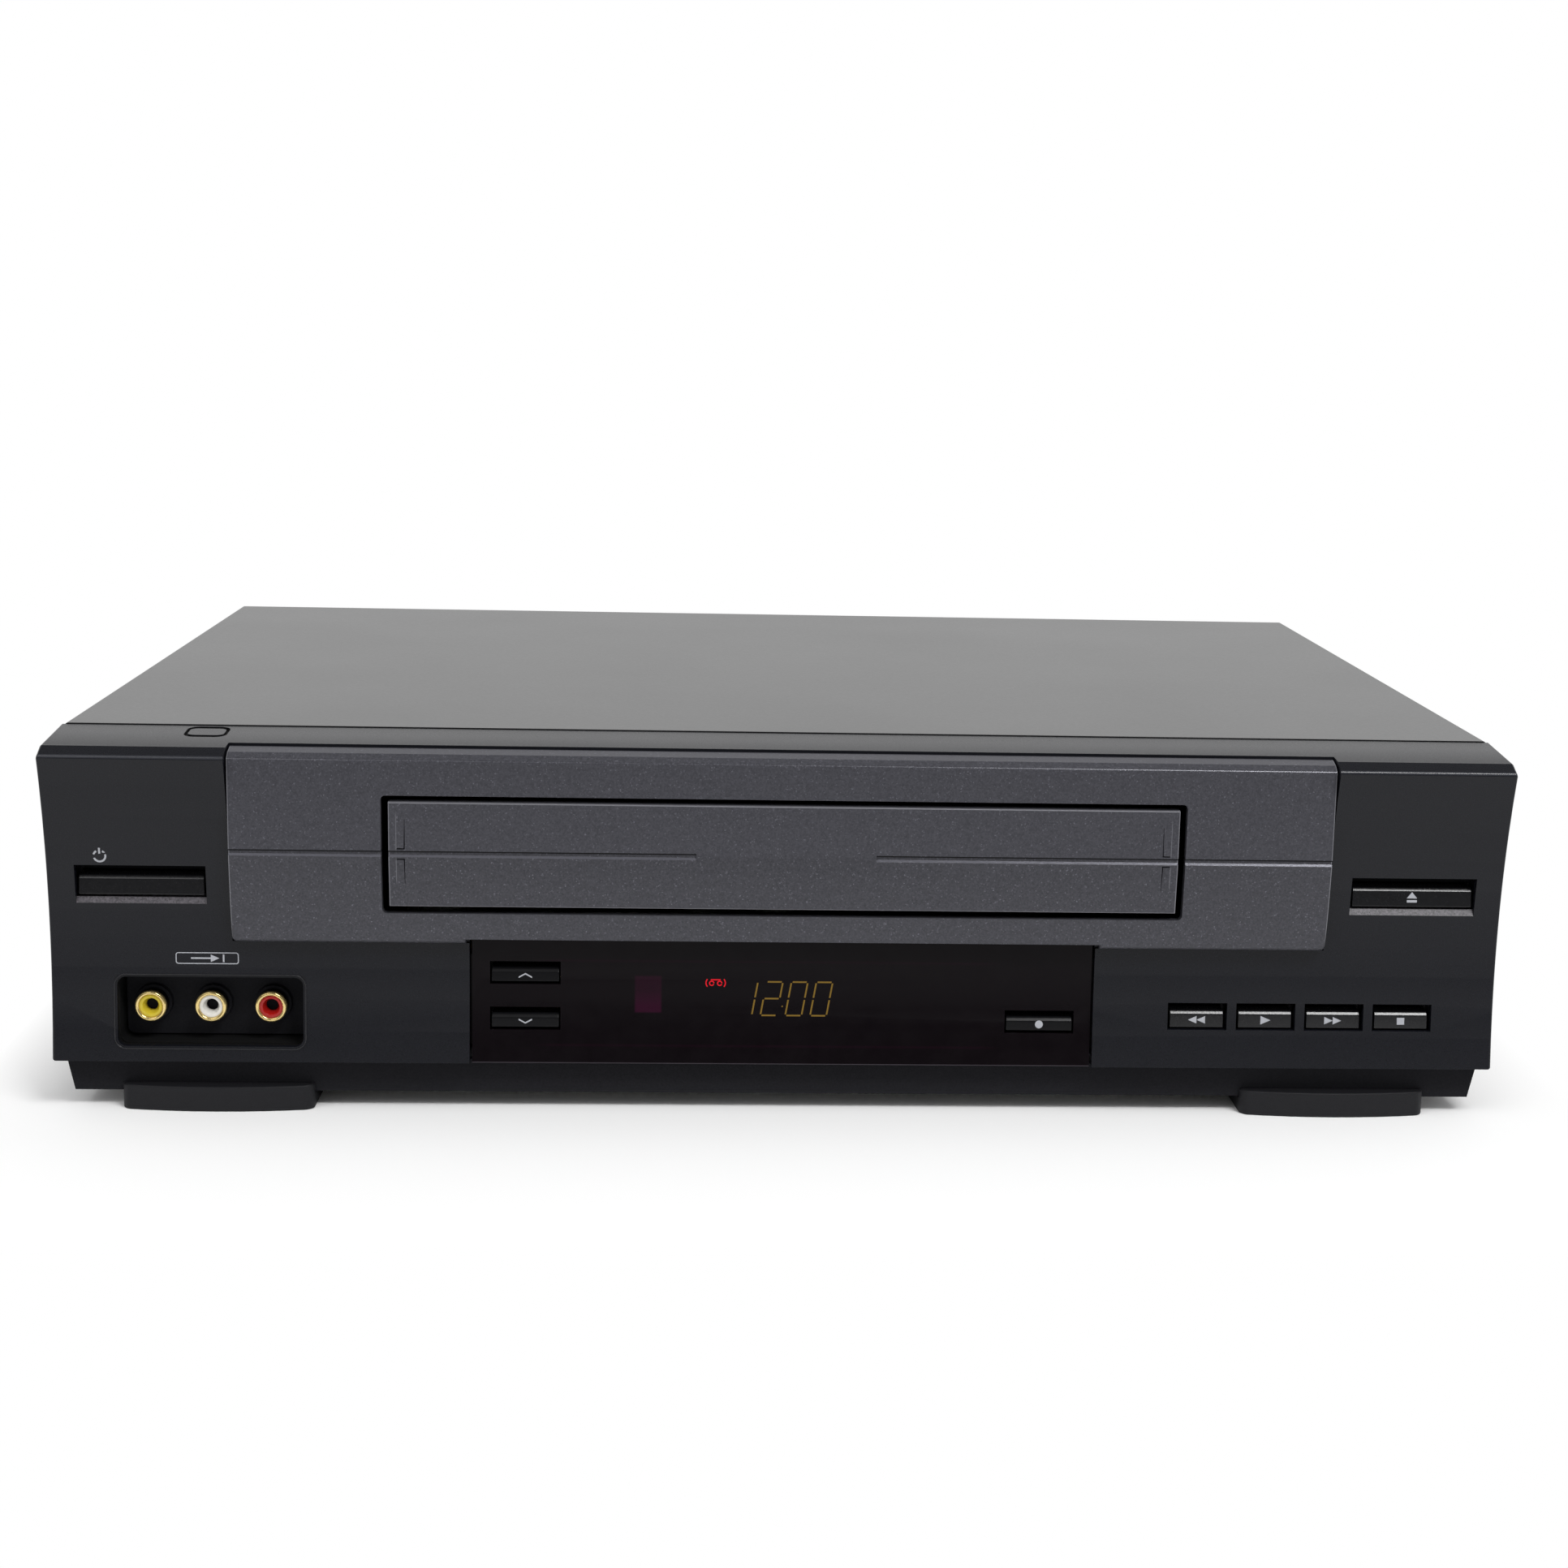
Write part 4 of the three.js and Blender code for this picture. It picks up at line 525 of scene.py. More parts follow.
light_ink = Finish("light_grey_ink", 0xa9abb1, 0.5, shine=0.3)
light_ink.shaded(light_ink.noise(0.25), 0.88, 1.08)
ink_rise, ink_depth = 0.02 * mm, 0.06 * mm


def printed(name, outlines, front, body="case", line=None, ink=light_ink):
    """Ink on a surface whose y front gives: outlines in millimetres, filled or drawn as lines."""
    marks = [slab(name, points, line) for points in outlines]
    mark = thickened(joined(name, marks), lambda z: front(z) - ink_rise, ink_depth)
    added(mark, ink, body)


charcoal = Finish("charcoal_satin_abs", 0x111218, 0.3, shine=0.31)
satin = charcoal.noise(0.35, 3)
even_black = charcoal.shades(charcoal.noise(40) * 0.3 + satin * 0.7, 0.84, 1.16)
# Inside the socket recess the mould was left rough, and its walls are painted near black as painted shade
recess_left, recess_right, recess_foot, recess_top, lip_width = -174.0, -124.5, 16.8, 36.7, 0.4
recess_shade_mask = charcoal.past("Y", -136.6, -136.0) * charcoal.patch(
    0.2, X=(recess_left + lip_width, recess_right - lip_width),
    Z=(recess_foot + lip_width, recess_top - lip_width))
# The sills under the side keys are spark-textured, and a painted highlight makes them catch the light as fine
# glitter: their cells are painted far lighter than the bezel
sill_inner, sill_outer = 149.6, 182.8
on_sills = charcoal.patch(0.05, Z=(55.55, 57.15)) * charcoal.past("Y", -136.85, -136.8) * (
    charcoal.patch(0.05, X=(-sill_outer, -sill_inner)) + charcoal.patch(0.05, X=(sill_inner, sill_outer)))
painted_glitter = charcoal.blend(charcoal.cells(0.35), rgb(0x2c2a2e), rgb(0x625e64))
# Along the chamfer's foot a light line is painted as a highlight on the edge, which is also a little
# smoother, and the top gets duller towards that chamfer
chamfer_highlight_line = charcoal.past("Y", -143.7, -143.9) * charcoal.past("Z", 94.75, 94.9)
dull_top = charcoal.past("Z", 97.2, 97.4) * charcoal.past("Y", -126, -140.5)
# The floors of the outline moulded in the top and the seat behind the centre panel are painted near black as
# painted shade
outline_left, outline_right, outline_front, outline_back = -156.3, -145.2, -11.5, -1
top_plane = bezel_high[2] - (seam_y - charcoal.axis("Y")) * top_slope
in_outline = (charcoal.between(top_plane - charcoal.axis("Z"), 0.12 * mm, 0.3 * mm) * charcoal.patch(
    0.1, X=(outline_left - 1.7, outline_right + 1.7), Y=(seam_y / mm - 12.5, seam_y / mm - 0.4))
              * charcoal.past("Z", 96, 96.5))
behind_panel = (charcoal.patch(0.1, X=(-143.2, 143.2)) * charcoal.patch(0.05, Y=(-137, -135.55))
                * charcoal.past("Z", 94, 95))
# Painted shade: the socket recess, the outline's floors and the seat behind the panel, all made rougher too
painted_shade = recess_shade_mask.at_least(in_outline).at_least(behind_panel)
charcoal.set("Base Color", charcoal.blend(chamfer_highlight_line, charcoal.blend(
    on_sills, charcoal.blend(painted_shade, even_black, rgb(0x060607)), painted_glitter), rgb(0x34353a)))
charcoal.set("Roughness", charcoal.spread(satin, 0.26, 0.34) + painted_shade * 0.4 + on_sills * 0.1
             + dull_top * 0.12 - chamfer_highlight_line * 0.14)
charcoal.bump(satin, 0.03, 0.3)

# The shell itself, with the steeper sill under each side key and the moulded outline on its top

bezel = copied("front_bezel")
sill_foot_z = 55.8 * mm
sill_foot_y = face_y(sill_foot_z)
sill_slope, steeper_slope, sill_drop = 0.4, 1.45, 0.3 * mm
for corner in bezel.data.vertices:
    back, rise = corner.co.y - sill_foot_y, corner.co.z - sill_foot_z
    if -0.05 * mm < rise < 1.7 * mm and near(back * sill_slope, rise, 0.03 * mm):
        corner.co.y = sill_foot_y + rise / steeper_slope
        corner.co.z -= sill_drop

groove = slab("outline_groove_cutter", rounded_box(
    outline_left, outline_right, outline_front, outline_back, 3), 0.9)
groove_middle, inner_share, groove_cut = (outline_front + outline_back) / 2 * mm, 0.76, 0.8 * mm
for count, corner in enumerate(groove.data.vertices):
    along = corner.co.z
    if count >= len(groove.data.vertices) / 2:
        along = groove_middle + (along - groove_middle) * inner_share
    corner.co = (corner.co.x, seam_y + along, bezel_high[2] - groove_cut + along * top_slope)
carved(bezel, drawn_out(groove, (0, 0, 1.5 * mm)))
hollowed(bezel, 0, steps(bezel_low[0], bezel_high[0], 7 * mm), steps(bezel_low[2], chamfer_foot_z, 2.1 * mm))


def bezel_outside(place):
    """Widest on the two ends, narrower along the chamfer's foot, and nothing elsewhere."""
    if abs(place.x) > bezel_high[0] - 0.2 * mm:
        return 0.5 if place.z > chamfer_foot_z + 0.3 * mm else 0.25
    return 0.36 if near(place.z, chamfer_foot_z) and place.y < chamfer_top_y - 3 * mm else 0.0


outline_x = (outline_left + outline_right) / 2 * mm


def bezel_edge(place):
    """Wide on the outer corners, narrow round the openings."""
    if abs(place.x) > bezel_high[0] - 0.2 * mm:
        return 1.0
    if place.z > 96 * mm and near(place.x, outline_x, 8 * mm) and place.y > seam_y - 13 * mm:
        return 0.04
    if near(place.z, 56.5 * mm, 1.2 * mm) and place.y < -134 * mm:
        return 0.05
    return 0.7 if place.z < bezel_low[2] + 0.3 * mm else 0.2


rounded(bezel, 2.2 * mm, 7, bezel_outside, 15, False)
rounded(bezel, 1.1 * mm, 3, bezel_edge, 16)
stands_for(bezel, "front_bezel", charcoal)

# The lip round the socket recess is charcoal painted lighter than the bezel and a little glossier, a painted
# highlight along it
lip_charcoal = Finish("lip_charcoal_painted_highlight", 0x1e1e22, 0.28)
lip_charcoal.shaded(lip_charcoal.noise(0.4), 0.85, 1.15)
recess = rounded_box(recess_left, recess_right, recess_foot, recess_top, 3.1, 8)
lip = thickened(slab("socket_recess_lip", recess, 0.3), lambda z: face_y(z) - 0.24 * mm, 0.5 * mm)
added(rounded(lip, 0.12 * mm, 3), lip_charcoal)


def bar(x0, z0, x1, z1, width, inset=0.0):
    """A straight stroke between two points, held back by inset at both ends."""
    along = Vector((x1 - x0, z1 - z0)).normalized()
    side = Vector((-along.y, along.x)) * width / 2
    start = Vector((x0, z0)) + along * inset
    end = Vector((x1, z1)) - along * inset
    return [tuple(start - side), tuple(end - side), tuple(end + side), tuple(start + side)]


def curved_bar(x, z, outer, inner, start, end, count):
    """A stroke that runs part of the way round (x, z)."""
    return arc_points(x, z, outer, start, end, count) + arc_points(x, z, inner, end, start, count)


standby_x, standby_z, standby_radius, stroke = -176.2, 68.3, 1.75, 0.5
printed("standby_mark", [
    curved_bar(standby_x, standby_z, standby_radius, standby_radius - stroke, 120, 420, 30),
    bar(standby_x, standby_z + 0.1, standby_x, standby_z + 2.2, stroke)], face_y)

input_x, input_z = -149.9, 40.95
printed("input_mark_box", [rounded_box(input_x - 8.1, input_x + 8.1, input_z - 1.55, input_z + 1.55, 0.7)],
        face_y, line=0.24)
printed("input_mark_arrow", [
    bar(input_x - 4.2, input_z, input_x + 1.2, input_z, 0.42),
    [(input_x + 0.9, input_z - 1.0), (input_x + 3.1, input_z), (input_x + 0.9, input_z + 1.0)],
    bar(input_x + 4.2, input_z - 1.0, input_x + 4.2, input_z + 1.0, 0.42)], face_y)

# Centre panel: moulded apart from the bezel in a lighter grey that is filled with aluminium flake, and
# clipped over the bezel's middle. The flake's glints are painted into its colour as fine sparkle, cells far
# lighter than the grey.

grey = Finish("metal_flake_grey", 0x47474d, 0.4, 0.3, 0.4)
panel_low, panel_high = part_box("center_panel")
panel_face_y, lower_face_y = panel_low[1], seam_y - 21.3 * mm
panel_front, panel_half = panel_face_y / mm, panel_high[0] / mm
groove_low, groove_high, groove_depth, slope_rise = 69.6, 71.3, 0.5, 0.62
door_half, door_low, door_high = 102.2, 56.4, 83.95
flake = grey.cells(0.4)
# Painted glints: some flake cells are painted far lighter than the grey
painted_sparkle = grey.between(grey.cells(0.32), 0.82, 1.0)
# Above the groove the face is painted a shade lighter, as painted light
lit_above_groove = grey.past("Z", groove_low, groove_high)
flaked = grey.blend(painted_sparkle, grey.shades(flake * 0.72 + lit_above_groove * 0.28, 0.66, 1.34),
                          grey.tone(2.6))
# The groove's lower side gets a painted highlight, a light line, and is made smoother; the corner under its
# upper lip is painted dark as painted shade
in_groove = grey.past("Y", panel_front + 0.04, panel_front + 0.08)
groove_highlight = in_groove * grey.patch(0.03, Z=(groove_low, groove_low + slope_rise - 0.08))
shade_under_lip = in_groove * grey.patch(0.08, Z=(groove_high - 0.38, groove_high))
# Light lines are painted along the flap's edges, the panel's outer ones and beside the slots, as painted
# highlights
on_door = grey.patch(0.2, X=(-door_half, door_half), Z=(door_low, door_high))
off_rim = grey.patch(0.08, X=(0.28 - door_half, door_half - 0.28), Z=(door_low + 0.2, door_high - 0.3))
outer_rim = 1 - grey.patch(0.1, X=(0.25 - panel_half, panel_half - 0.25))
beside_slots = ((grey.patch(0.08, X=(-100.3, -100.15)) + grey.patch(0.08, X=(100.15, 100.3)))
                * (grey.patch(2, Z=(72.2, 80)) + grey.patch(1, Z=(63.5, 68.6))))
painted_edge_lines = (on_door * (1 - off_rim)).at_least(outer_rim).at_least(beside_slots * 0.5)
# The top facet is painted a shade lighter, as painted light on the face that turns up
flaked = grey.blend(grey.past("Z", 96.1, 96.25) * 0.12, flaked, rgb(0x8a8a90))
grey.set("Base Color", grey.blend(shade_under_lip, grey.blend(
    groove_highlight, grey.blend(painted_edge_lines, flaked, rgb(0x7c7c82)), rgb(0x5e5e66)), rgb(0x1a1a1d)))
# The lower facet's foot is polished smoother, and so is the groove's lower side
facet_foot = grey.patch(0.08, Z=(94.5, 95.05))
grey.set("Roughness", grey.between(flake, 0, 1, 0.36, 0.46) - groove_highlight * 0.2 - facet_foot * 0.16)
grey.bump(grey.noise(0.4), 0.03, 0.35)


def groove_slope(piece):
    """Slopes the groove's lower side, so that it catches the light as a bright line."""
    for corner in piece.data.vertices:
        at_back = near(corner.co.y - panel_face_y, groove_depth * mm, 0.05 * mm)
        if near(corner.co.z, groove_low * mm) and at_back:
            corner.co.z += slope_rise * mm


def panel_edge(place):
    """Narrow along the groove across the front, wider on the panel's outside."""
    if (groove_low - 1) * mm < place.z < (groove_high + 1) * mm and abs(place.x) < panel_high[0] - 1 * mm:
        return 0.15
    return 1.0 if abs(place.x) > panel_high[0] - 3 * mm or place.z > 94 * mm else 0.6


def front_at(z):
    """How far forward the panel's and door's faces reach at a height; below the groove they slope back."""
    below = max(0, groove_low * mm - z) / (groove_low * mm - panel_low[2])
    return panel_face_y + below * (lower_face_y - panel_face_y)


def facet_foot_only(place):
    return 1.0 if near(place.z, 94.8 * mm, 0.05 * mm) and place.y < panel_face_y + 0.1 * mm else 0.0


def bevelled(piece, edge, picked):
    """Rounds the edges that picked says yes to by edge metres, all along."""
    with editing(piece):
        bpy.ops.mesh.select_mode(type="EDGE")
        bpy.ops.mesh.select_all(action="DESELECT")
        shape = bmesh.from_edit_mesh(piece.data)
        for line in shape.edges:
            line.select_set(picked(line, line_middle(line)))
        bpy.ops.mesh.bevel(offset=edge, segments=5)
        bpy.ops.mesh.select_mode(type="VERT")


def doorway_corner(line, place):
    at_height = near(place.z, doorway_low) or near(place.z, doorway_high)
    return near(abs(place.x), doorway_half) and at_height


def lower_front(line, place):
    outer = place.z < panel_foot_z + 0.05 * mm and place.y < face_y(panel_foot_z) - 2.5 * mm
    return outer and len(line.link_faces) == 2 and line.calc_face_angle() > math.radians(60)


# The doorway is opened up a little from the solid's, and the top facet lies lower
solid_half, solid_low, solid_high = 103.55 * mm, 54.9 * mm, 85.4 * mm
doorway_half, doorway_low, doorway_high = 104.1 * mm, 54.45 * mm, 85.7 * mm
panel_foot_z = 48.2 * mm
panel = copied("center_panel")
for corner in panel.data.vertices:
    if near(abs(corner.co.x), solid_half):
        corner.co.x = math.copysign(doorway_half, corner.co.x)
        if near(corner.co.z, solid_low):
            corner.co.z = doorway_low
        if near(corner.co.z, solid_high):
            corner.co.z = doorway_high
    if corner.co.z > 96.3 * mm:
        corner.co.z -= 0.2 * mm if corner.co.z < 97 * mm else 0.5 * mm
corner_radius, tighter_corner = 2.5 * mm, 0.5
for corner in panel.data.vertices:
    side = math.copysign(1, corner.co.x)
    middle = Vector((side * (panel_high[0] - corner_radius), panel_low[2] + corner_radius))
    out = Vector((corner.co.x, corner.co.z)) - middle
    if out.length > corner_radius - 0.1 * mm and out.x * side > -0.1 * mm and out.y < 0.1 * mm:
        sharp_corner = middle + Vector((side * corner_radius, -corner_radius))
        on_face = near(corner.co.y, front_at(corner.co.z))
        corner.co.x, corner.co.z = sharp_corner.lerp(middle + out, tighter_corner)
        if on_face:
            corner.co.y = front_at(corner.co.z)
groove_slope(panel)
bevelled(panel, 1.2 * mm, doorway_corner)
bevelled(panel, 1.3 * mm, lower_front)
rounded(panel, 0.5 * mm, 5, facet_foot_only, 12, False)
rounded(panel, 0.45 * mm, 3, panel_edge, 13)
stands_for(panel, "center_panel", grey)

# Cassette door: a flap of the same moulding, with the panel's groove carried on across it. Near each end
# two angled slots above and below the groove mark where a finger pushes the flap in.

solid_door_half, solid_door_high = 101.9 * mm, 84.3 * mm
door = copied("cassette_door")
for corner in door.data.vertices:
    if near(abs(corner.co.x), solid_door_half) and corner.co.z < 84.5 * mm:
        corner.co.x += math.copysign(0.3 * mm, corner.co.x)
    if near(corner.co.z, solid_door_high) and corner.co.y < panel_face_y + 0.1 * mm:
        corner.co.z = door_high * mm
groove_slope(door)
slot_depth, slot_start = 1.2 * mm, 1 * mm
for side in (-1, 1):
    for far_z, near_z, end_z in ((79.5, 72.0, 71.65), (62.5, 68.9, 69.25)):
        slot = slab("slot_cutter", [
            (side * 98.0, end_z), (side * 100.1, end_z), (side * 100.1, near_z),
            (side * 98.32, near_z), (side * 98.12, far_z), (side * 98.0, far_z)])
        carved(door, thickened(slot, lambda z: front_at(z) - slot_start, slot_depth + slot_start))


def door_edge(place):
    """Narrow on the flap's inner edges, none at the slots, and wide round the outside."""
    if 97.5 * mm < abs(place.x) < 100.6 * mm and (door_low + 3) * mm < place.z < (door_high - 2) * mm:
        return 0
    inner = abs(place.x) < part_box("cassette_door")[1][0] - 5 * mm and 58 * mm < place.z < 83 * mm
    return 0.15 if inner else 1.0


rounded(door, 0.4 * mm, 3, door_edge)
stands_for(door, "cassette_door", grey)

# Smoked window: a glossy plate of dark red-black acrylic over the display, which only lit segments
# show through. A patch of plum filter lies over the remote receiver.

window_depth = 0.8 * mm
window_low, window_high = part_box("display_window")
smoked = Finish("smoked_acrylic", 0x0d090c, 0.14, shine=0.1)
haze = smoked.noise(5, 3)
receiver_glow = smoked.patch(0.5, X=(-38.8, -32.4), Z=(27.4, 36.7)) * smoked.between(
    smoked.axis("Z"), 29 * mm, 33 * mm, 1.0, 0.5)
frame_lines = smoked.patch(6, X=(-60, 52)) * (
    smoked.patch(0.3, Z=(18.2, 18.5)) + smoked.patch(0.3, Z=(40.8, 41.1)))
window_left, window_foot = window_low[0] / mm, window_low[2] / mm
# The window's left and bottom edges are painted with a light line, a painted highlight
painted_rim_highlight = smoked.past("X", window_left + 0.35, window_left + 0.2).at_least(
    smoked.past("Z", window_foot + 0.3, window_foot + 0.15))
inner_tint = smoked.blend(receiver_glow.at_least(frame_lines * 0.15), smoked.shades(haze, 0.85, 1.15),
                          rgb(0x2a0b1e))
smoked.set("Base Color", smoked.blend(painted_rim_highlight, inner_tint, rgb(0x3a363b)))
smoked.set("Roughness", smoked.spread(haze, 0.12, 0.18))
window = copied("display_window")
hollowed(window, window_depth, steps(window_low[0], window_high[0], 7 * mm),
         steps(window_low[2], window_high[2], 1.7 * mm))
rounded(window, 0.25 * mm)
stands_for(window, "display_window", smoked)

# Lit display: slanted amber segments of a vacuum fluorescent tube, and a red cassette mark, seen through
# the window. It shows plain digits.


def lit(name, colour, dimmer, brighter):
    """The light of a tube's phosphor, seen through the window."""
    finish = Finish(name, colour, 0.4, shine=0.1)
    finish.set("Emission Color", finish.blend(finish.noise(0.5), rgb(dimmer), rgb(brighter)))
    finish.set("Emission Strength", 1.0)
    return finish


def on_window(z):
    return face_y(z) + window_depth


amber = lit("amber_segments", 0x1a1508, 0x6a5320, 0x84682a)
red_glow = lit("red_segments", 0x200404, 0xc81420, 0xf02030)
digit_width, digit_height, digit_pitch, slant = 4.3, 9.0, 6.57, 0.17
digit_x, digit_z = -12.6, 26.6
segment_ends = {"a": (0, 1, 1, 1), "b": (1, 1, 1, 0.5), "c": (1, 0.5, 1, 0), "d": (0, 0, 1, 0),
                "e": (0, 0, 0, 0.5), "f": (0, 0.5, 0, 1), "g": (0, 0.5, 1, 0.5)}
lit_segments = {"0": "abcdef", "1": "bc", "2": "abged"}


def slanted(points, x):
    return [(x + px + pz * slant, digit_z + pz) for px, pz in points]


for count, digit in enumerate("1200"):
    strokes = [bar(x0 * digit_width, z0 * digit_height, x1 * digit_width, z1 * digit_height, 0.42, 0.3)
               for x0, z0, x1, z1 in (segment_ends[letter] for letter in lit_segments[digit])]
    printed(f"display_digit_{count + 1}", [slanted(points, digit_x + count * digit_pitch)
                                           for points in strokes], on_window, ink=amber)
colon_x = digit_x + 2 * digit_pitch - 1.25
printed("display_colon", [
    slanted(rounded_box(-0.18, 0.18, z - 0.18, z + 0.18, 0.1, 2), colon_x)
    for z in (digit_height * 0.27, digit_height * 0.73)], on_window, ink=amber)
tape_x, tape_z, reel_offset = -17.9, 35.3, 1.05
reel_spots = [curved_bar(tape_x + side * reel_offset, tape_z - 0.2, 0.72, 0.42, 0, 340, 20)
              for side in (-1, 1)]
side_arcs = [curved_bar(tape_x + side * reel_offset, tape_z - 0.1, 1.65, 1.35, middle - 42, middle + 42, 10)
             for side, middle in ((-1, 180), (1, 0))]
printed("display_tape_mark", reel_spots + side_arcs + [
    bar(tape_x - 1.3, tape_z + 0.75, tape_x + 1.3, tape_z + 0.75, 0.32)], on_window, ink=red_glow)

# Keys: black ABS bars with a rounded top edge, polished enough to catch a bright line along it. Their
# signs are printed on their fronts, and ride in and out with them.

key_plastic = Finish("key_black_abs", 0x161618, 0.22, shine=0.55)
polish = key_plastic.noise(0.5, 3)
key_plastic.grained(polish, 0.85, 1.2, 0.02, 0.25)
key_plastic.set("Roughness", key_plastic.spread(polish, 0.18, 0.28))
window_key = Finish("window_key_abs", 0x0f0f11, 0.3, shine=0.18)
window_key.shaded(window_key.noise(0.5, 3), 0.8, 1.2)
key_lean, solid_key_edge = 0.085, 0.32 * mm
for name in ("power_button", "eject_button", "rew_button", "play_button", "ff_button", "stop_button",
             "channel_up_button", "channel_down_button", "rec_button"):
    key = copied(name)
    (_, front_y, foot_z), (_, _, top_z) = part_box(name)
    for corner in key.data.vertices:
        back, below_top = corner.co.y - front_y, top_z - corner.co.z
        if near(back, solid_key_edge, 0.06 * mm) and near(below_top, solid_key_edge, 0.06 * mm):
            corner.co.y += 0.24 * mm
            corner.co.z += 0.03 * mm
        if back < 1.3 * mm:
            corner.co.y += key_lean * (corner.co.z - foot_z)
    rounded(key, 0.22 * mm, 3, sharpest=20)
    in_window = name.startswith(("channel", "rec"))
    stands_for(key, name, window_key if in_window else key_plastic)


def arrow(x, width=2.3, height=2.0, z=-0.25):
    """A triangle that points to the right, or to the left if its width is negative."""
    points = [(x - width / 2, z - height / 2), (x + width / 2, z), (x - width / 2, z + height / 2)]
    return points if width > 0 else points[::-1]


def chevron(rise, half=1.75, lift=0.198, z=-0.25):
    """An open arrowhead that points up, or down if its rise is negative."""
    foot, tip = z - rise / 2, z + rise / 2
    return [(-half, foot - lift), (0, tip - lift), (half, foot - lift),
            (half, foot + lift), (0, tip + lift), (-half, foot + lift)]


def marked(button, shapes):
    """Prints shapes on a key; they are given from the middle of its front, in millimetres."""
    low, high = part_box(button)
    x, z = (low[0] + high[0]) / 2 / mm, (low[2] + high[2]) / 2 / mm
    placed = [[(x + px, z + pz) for px, pz in points] for points in shapes]
    printed(button + "_sign", placed, lambda pz: low[1] + key_lean * (pz - low[2]), button)


marked("eject_button", [[(-1.4, -0.35), (1.4, -0.35), (0, 1.35)],
                        [(-1.35, -1.45), (1.35, -1.45), (1.35, -0.8), (-1.35, -0.8)]])
marked("rew_button", [arrow(1.15, -2.3), arrow(-1.15, -2.3)])
marked("play_button", [arrow(0.2, 2.7, 2.3)])
marked("ff_button", [arrow(1.15), arrow(-1.15)])
marked("stop_button", [[(-1.0, -1.2), (1.0, -1.2), (1.0, 0.65), (-1.0, 0.65)]])
marked("channel_up_button", [chevron(0.95)])
marked("channel_down_button", [chevron(-0.95)])
marked("rec_button", [arc_points(0, -0.15, 1.05, 0, 345, 23)])

# Front input sockets: gold-plated turned shells with a rolled lip, round moulded inserts with a tapered
# mouth, yellow for the picture, white and red for the sound. One black moulded block holds them.


def turned(name, outline, middle):
    """A piece turned about its middle, front to back: a half section of (radius, depth) millimetres."""
    piece = outlined(name, [Vector(middle) + Vector((radius * mm, depth * mm, 0))
                            for radius, depth in outline], "NOTHING")
    with editing(piece):
        bpy.ops.mesh.spin(steps=48, angle=2 * math.pi, center=middle, axis=(0, 1, 0))
        bpy.ops.mesh.select_all(action="SELECT")
        bpy.ops.mesh.remove_doubles(threshold=1e-6)
        bpy.ops.mesh.normals_make_consistent(inside=False)
    return piece


gold = Finish("gold_plate", 0xe8ce8e, 0.3, 0.6, 0.8)
turning = gold.noise(0.3)
gold.shaded(turning, 0.88, 1.08)
gold.set("Roughness", gold.spread(turning, 0.24, 0.36))
shell_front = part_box("video_in_shell")[0][1] / mm
lip_gold = Finish("bright_gold_lip", 0xf4da94, 0.22, 0.85, 0.8)
# Behind the rolled lip the barrels are painted near black, as painted shade deep in the recess
lip_gold.set("Base Color", lip_gold.blend(
    lip_gold.past("Y", shell_front + 0.9, shell_front + 1.5),
    lip_gold.shades(lip_gold.noise(0.3), 0.9, 1.06), rgb(0x1c150c)))
shell_radius, shell_bore, shell_length = 4.1, 3.02, 4
lip_radius = (shell_radius - shell_bore) / 2
rolled_lip = arc_points(shell_bore + lip_radius, lip_radius, lip_radius, 180, 360, 10)
shell_outline = rolled_lip + [(shell_radius, shell_length), (shell_bore, shell_length)]
insert_outline = [(3, 0), (2.3, 0), (2.15, 0.12), (1.6, 1.7), (1.55, 3), (3, 3)]
insert_back = 0.55 * mm
insert_plastics = {}
for signal, hue, code in (("video_in", "yellow", 0xcdb833), ("audio_left_in", "white", 0xdedcd6),
                          ("audio_right_in", "red", 0xa01814)):
    plastic = Finish(hue + "_insert_plastic", code, 0.22, shine=0.45)
    plastic.grained(plastic.noise(1.2, 3), 0.9, 1.08, 0.02, 0.25)
    insert_plastics[hue] = plastic
    low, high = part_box(signal + "_shell")
    x, front, z = (low[0] + high[0]) / 2, low[1], (low[2] + high[2]) / 2
    shell = smoothed(turned(signal + "_shell_made", shell_outline, (x, front, z)), 40)
    stands_for(shell, signal + "_shell", lip_gold)
    insert = rounded(turned(signal + "_insert_made", insert_outline, (x, front + insert_back, z)), 0.12 * mm)
    stands_for(insert, signal + "_insert", plastic)
dressed("front_jack_block", skirt_plastic, 0.3)

# Top cover: one steel sheet folded down over both sides and coated with a dark textured paint, which
# turns pale where it mirrors the room at a low angle. Screws hold it to the bottom plate at the sides.

cover_paint = Finish("dark_cover_paint", 0x161617, 0.3)
orange_peel = cover_paint.noise(0.8)
cover_paint.grained(orange_peel, 0.8, 1.2, 0.02, 0.25)
cover_paint.set("Roughness", 0.27 + orange_peel * 0.05 + cover_paint.noise(60, 3) * 0.03)
cover = copied("top_cover")
cover_low, cover_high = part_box("top_cover")
sheet, fold_radius, tighter = 1 * mm, 3 * mm, 0.35
for corner in cover.data.vertices:
    side = math.copysign(1, corner.co.x)
    middle = Vector((side * (cover_high[0] - fold_radius), corner.co.y, cover_high[2] - fold_radius))
    if abs(corner.co.x) > abs(middle.x) - 0.05 * mm and corner.co.z > middle.z - 0.05 * mm:
        inner = (corner.co - middle).length < fold_radius - sheet / 2
        reach = fold_radius - sheet * inner
        sharp_corner = middle + Vector((side * reach, 0, reach))
        corner.co = sharp_corner.lerp(corner.co, tighter)
rounded(cover, 0.15 * mm)
stands_for(cover, "top_cover", cover_paint)
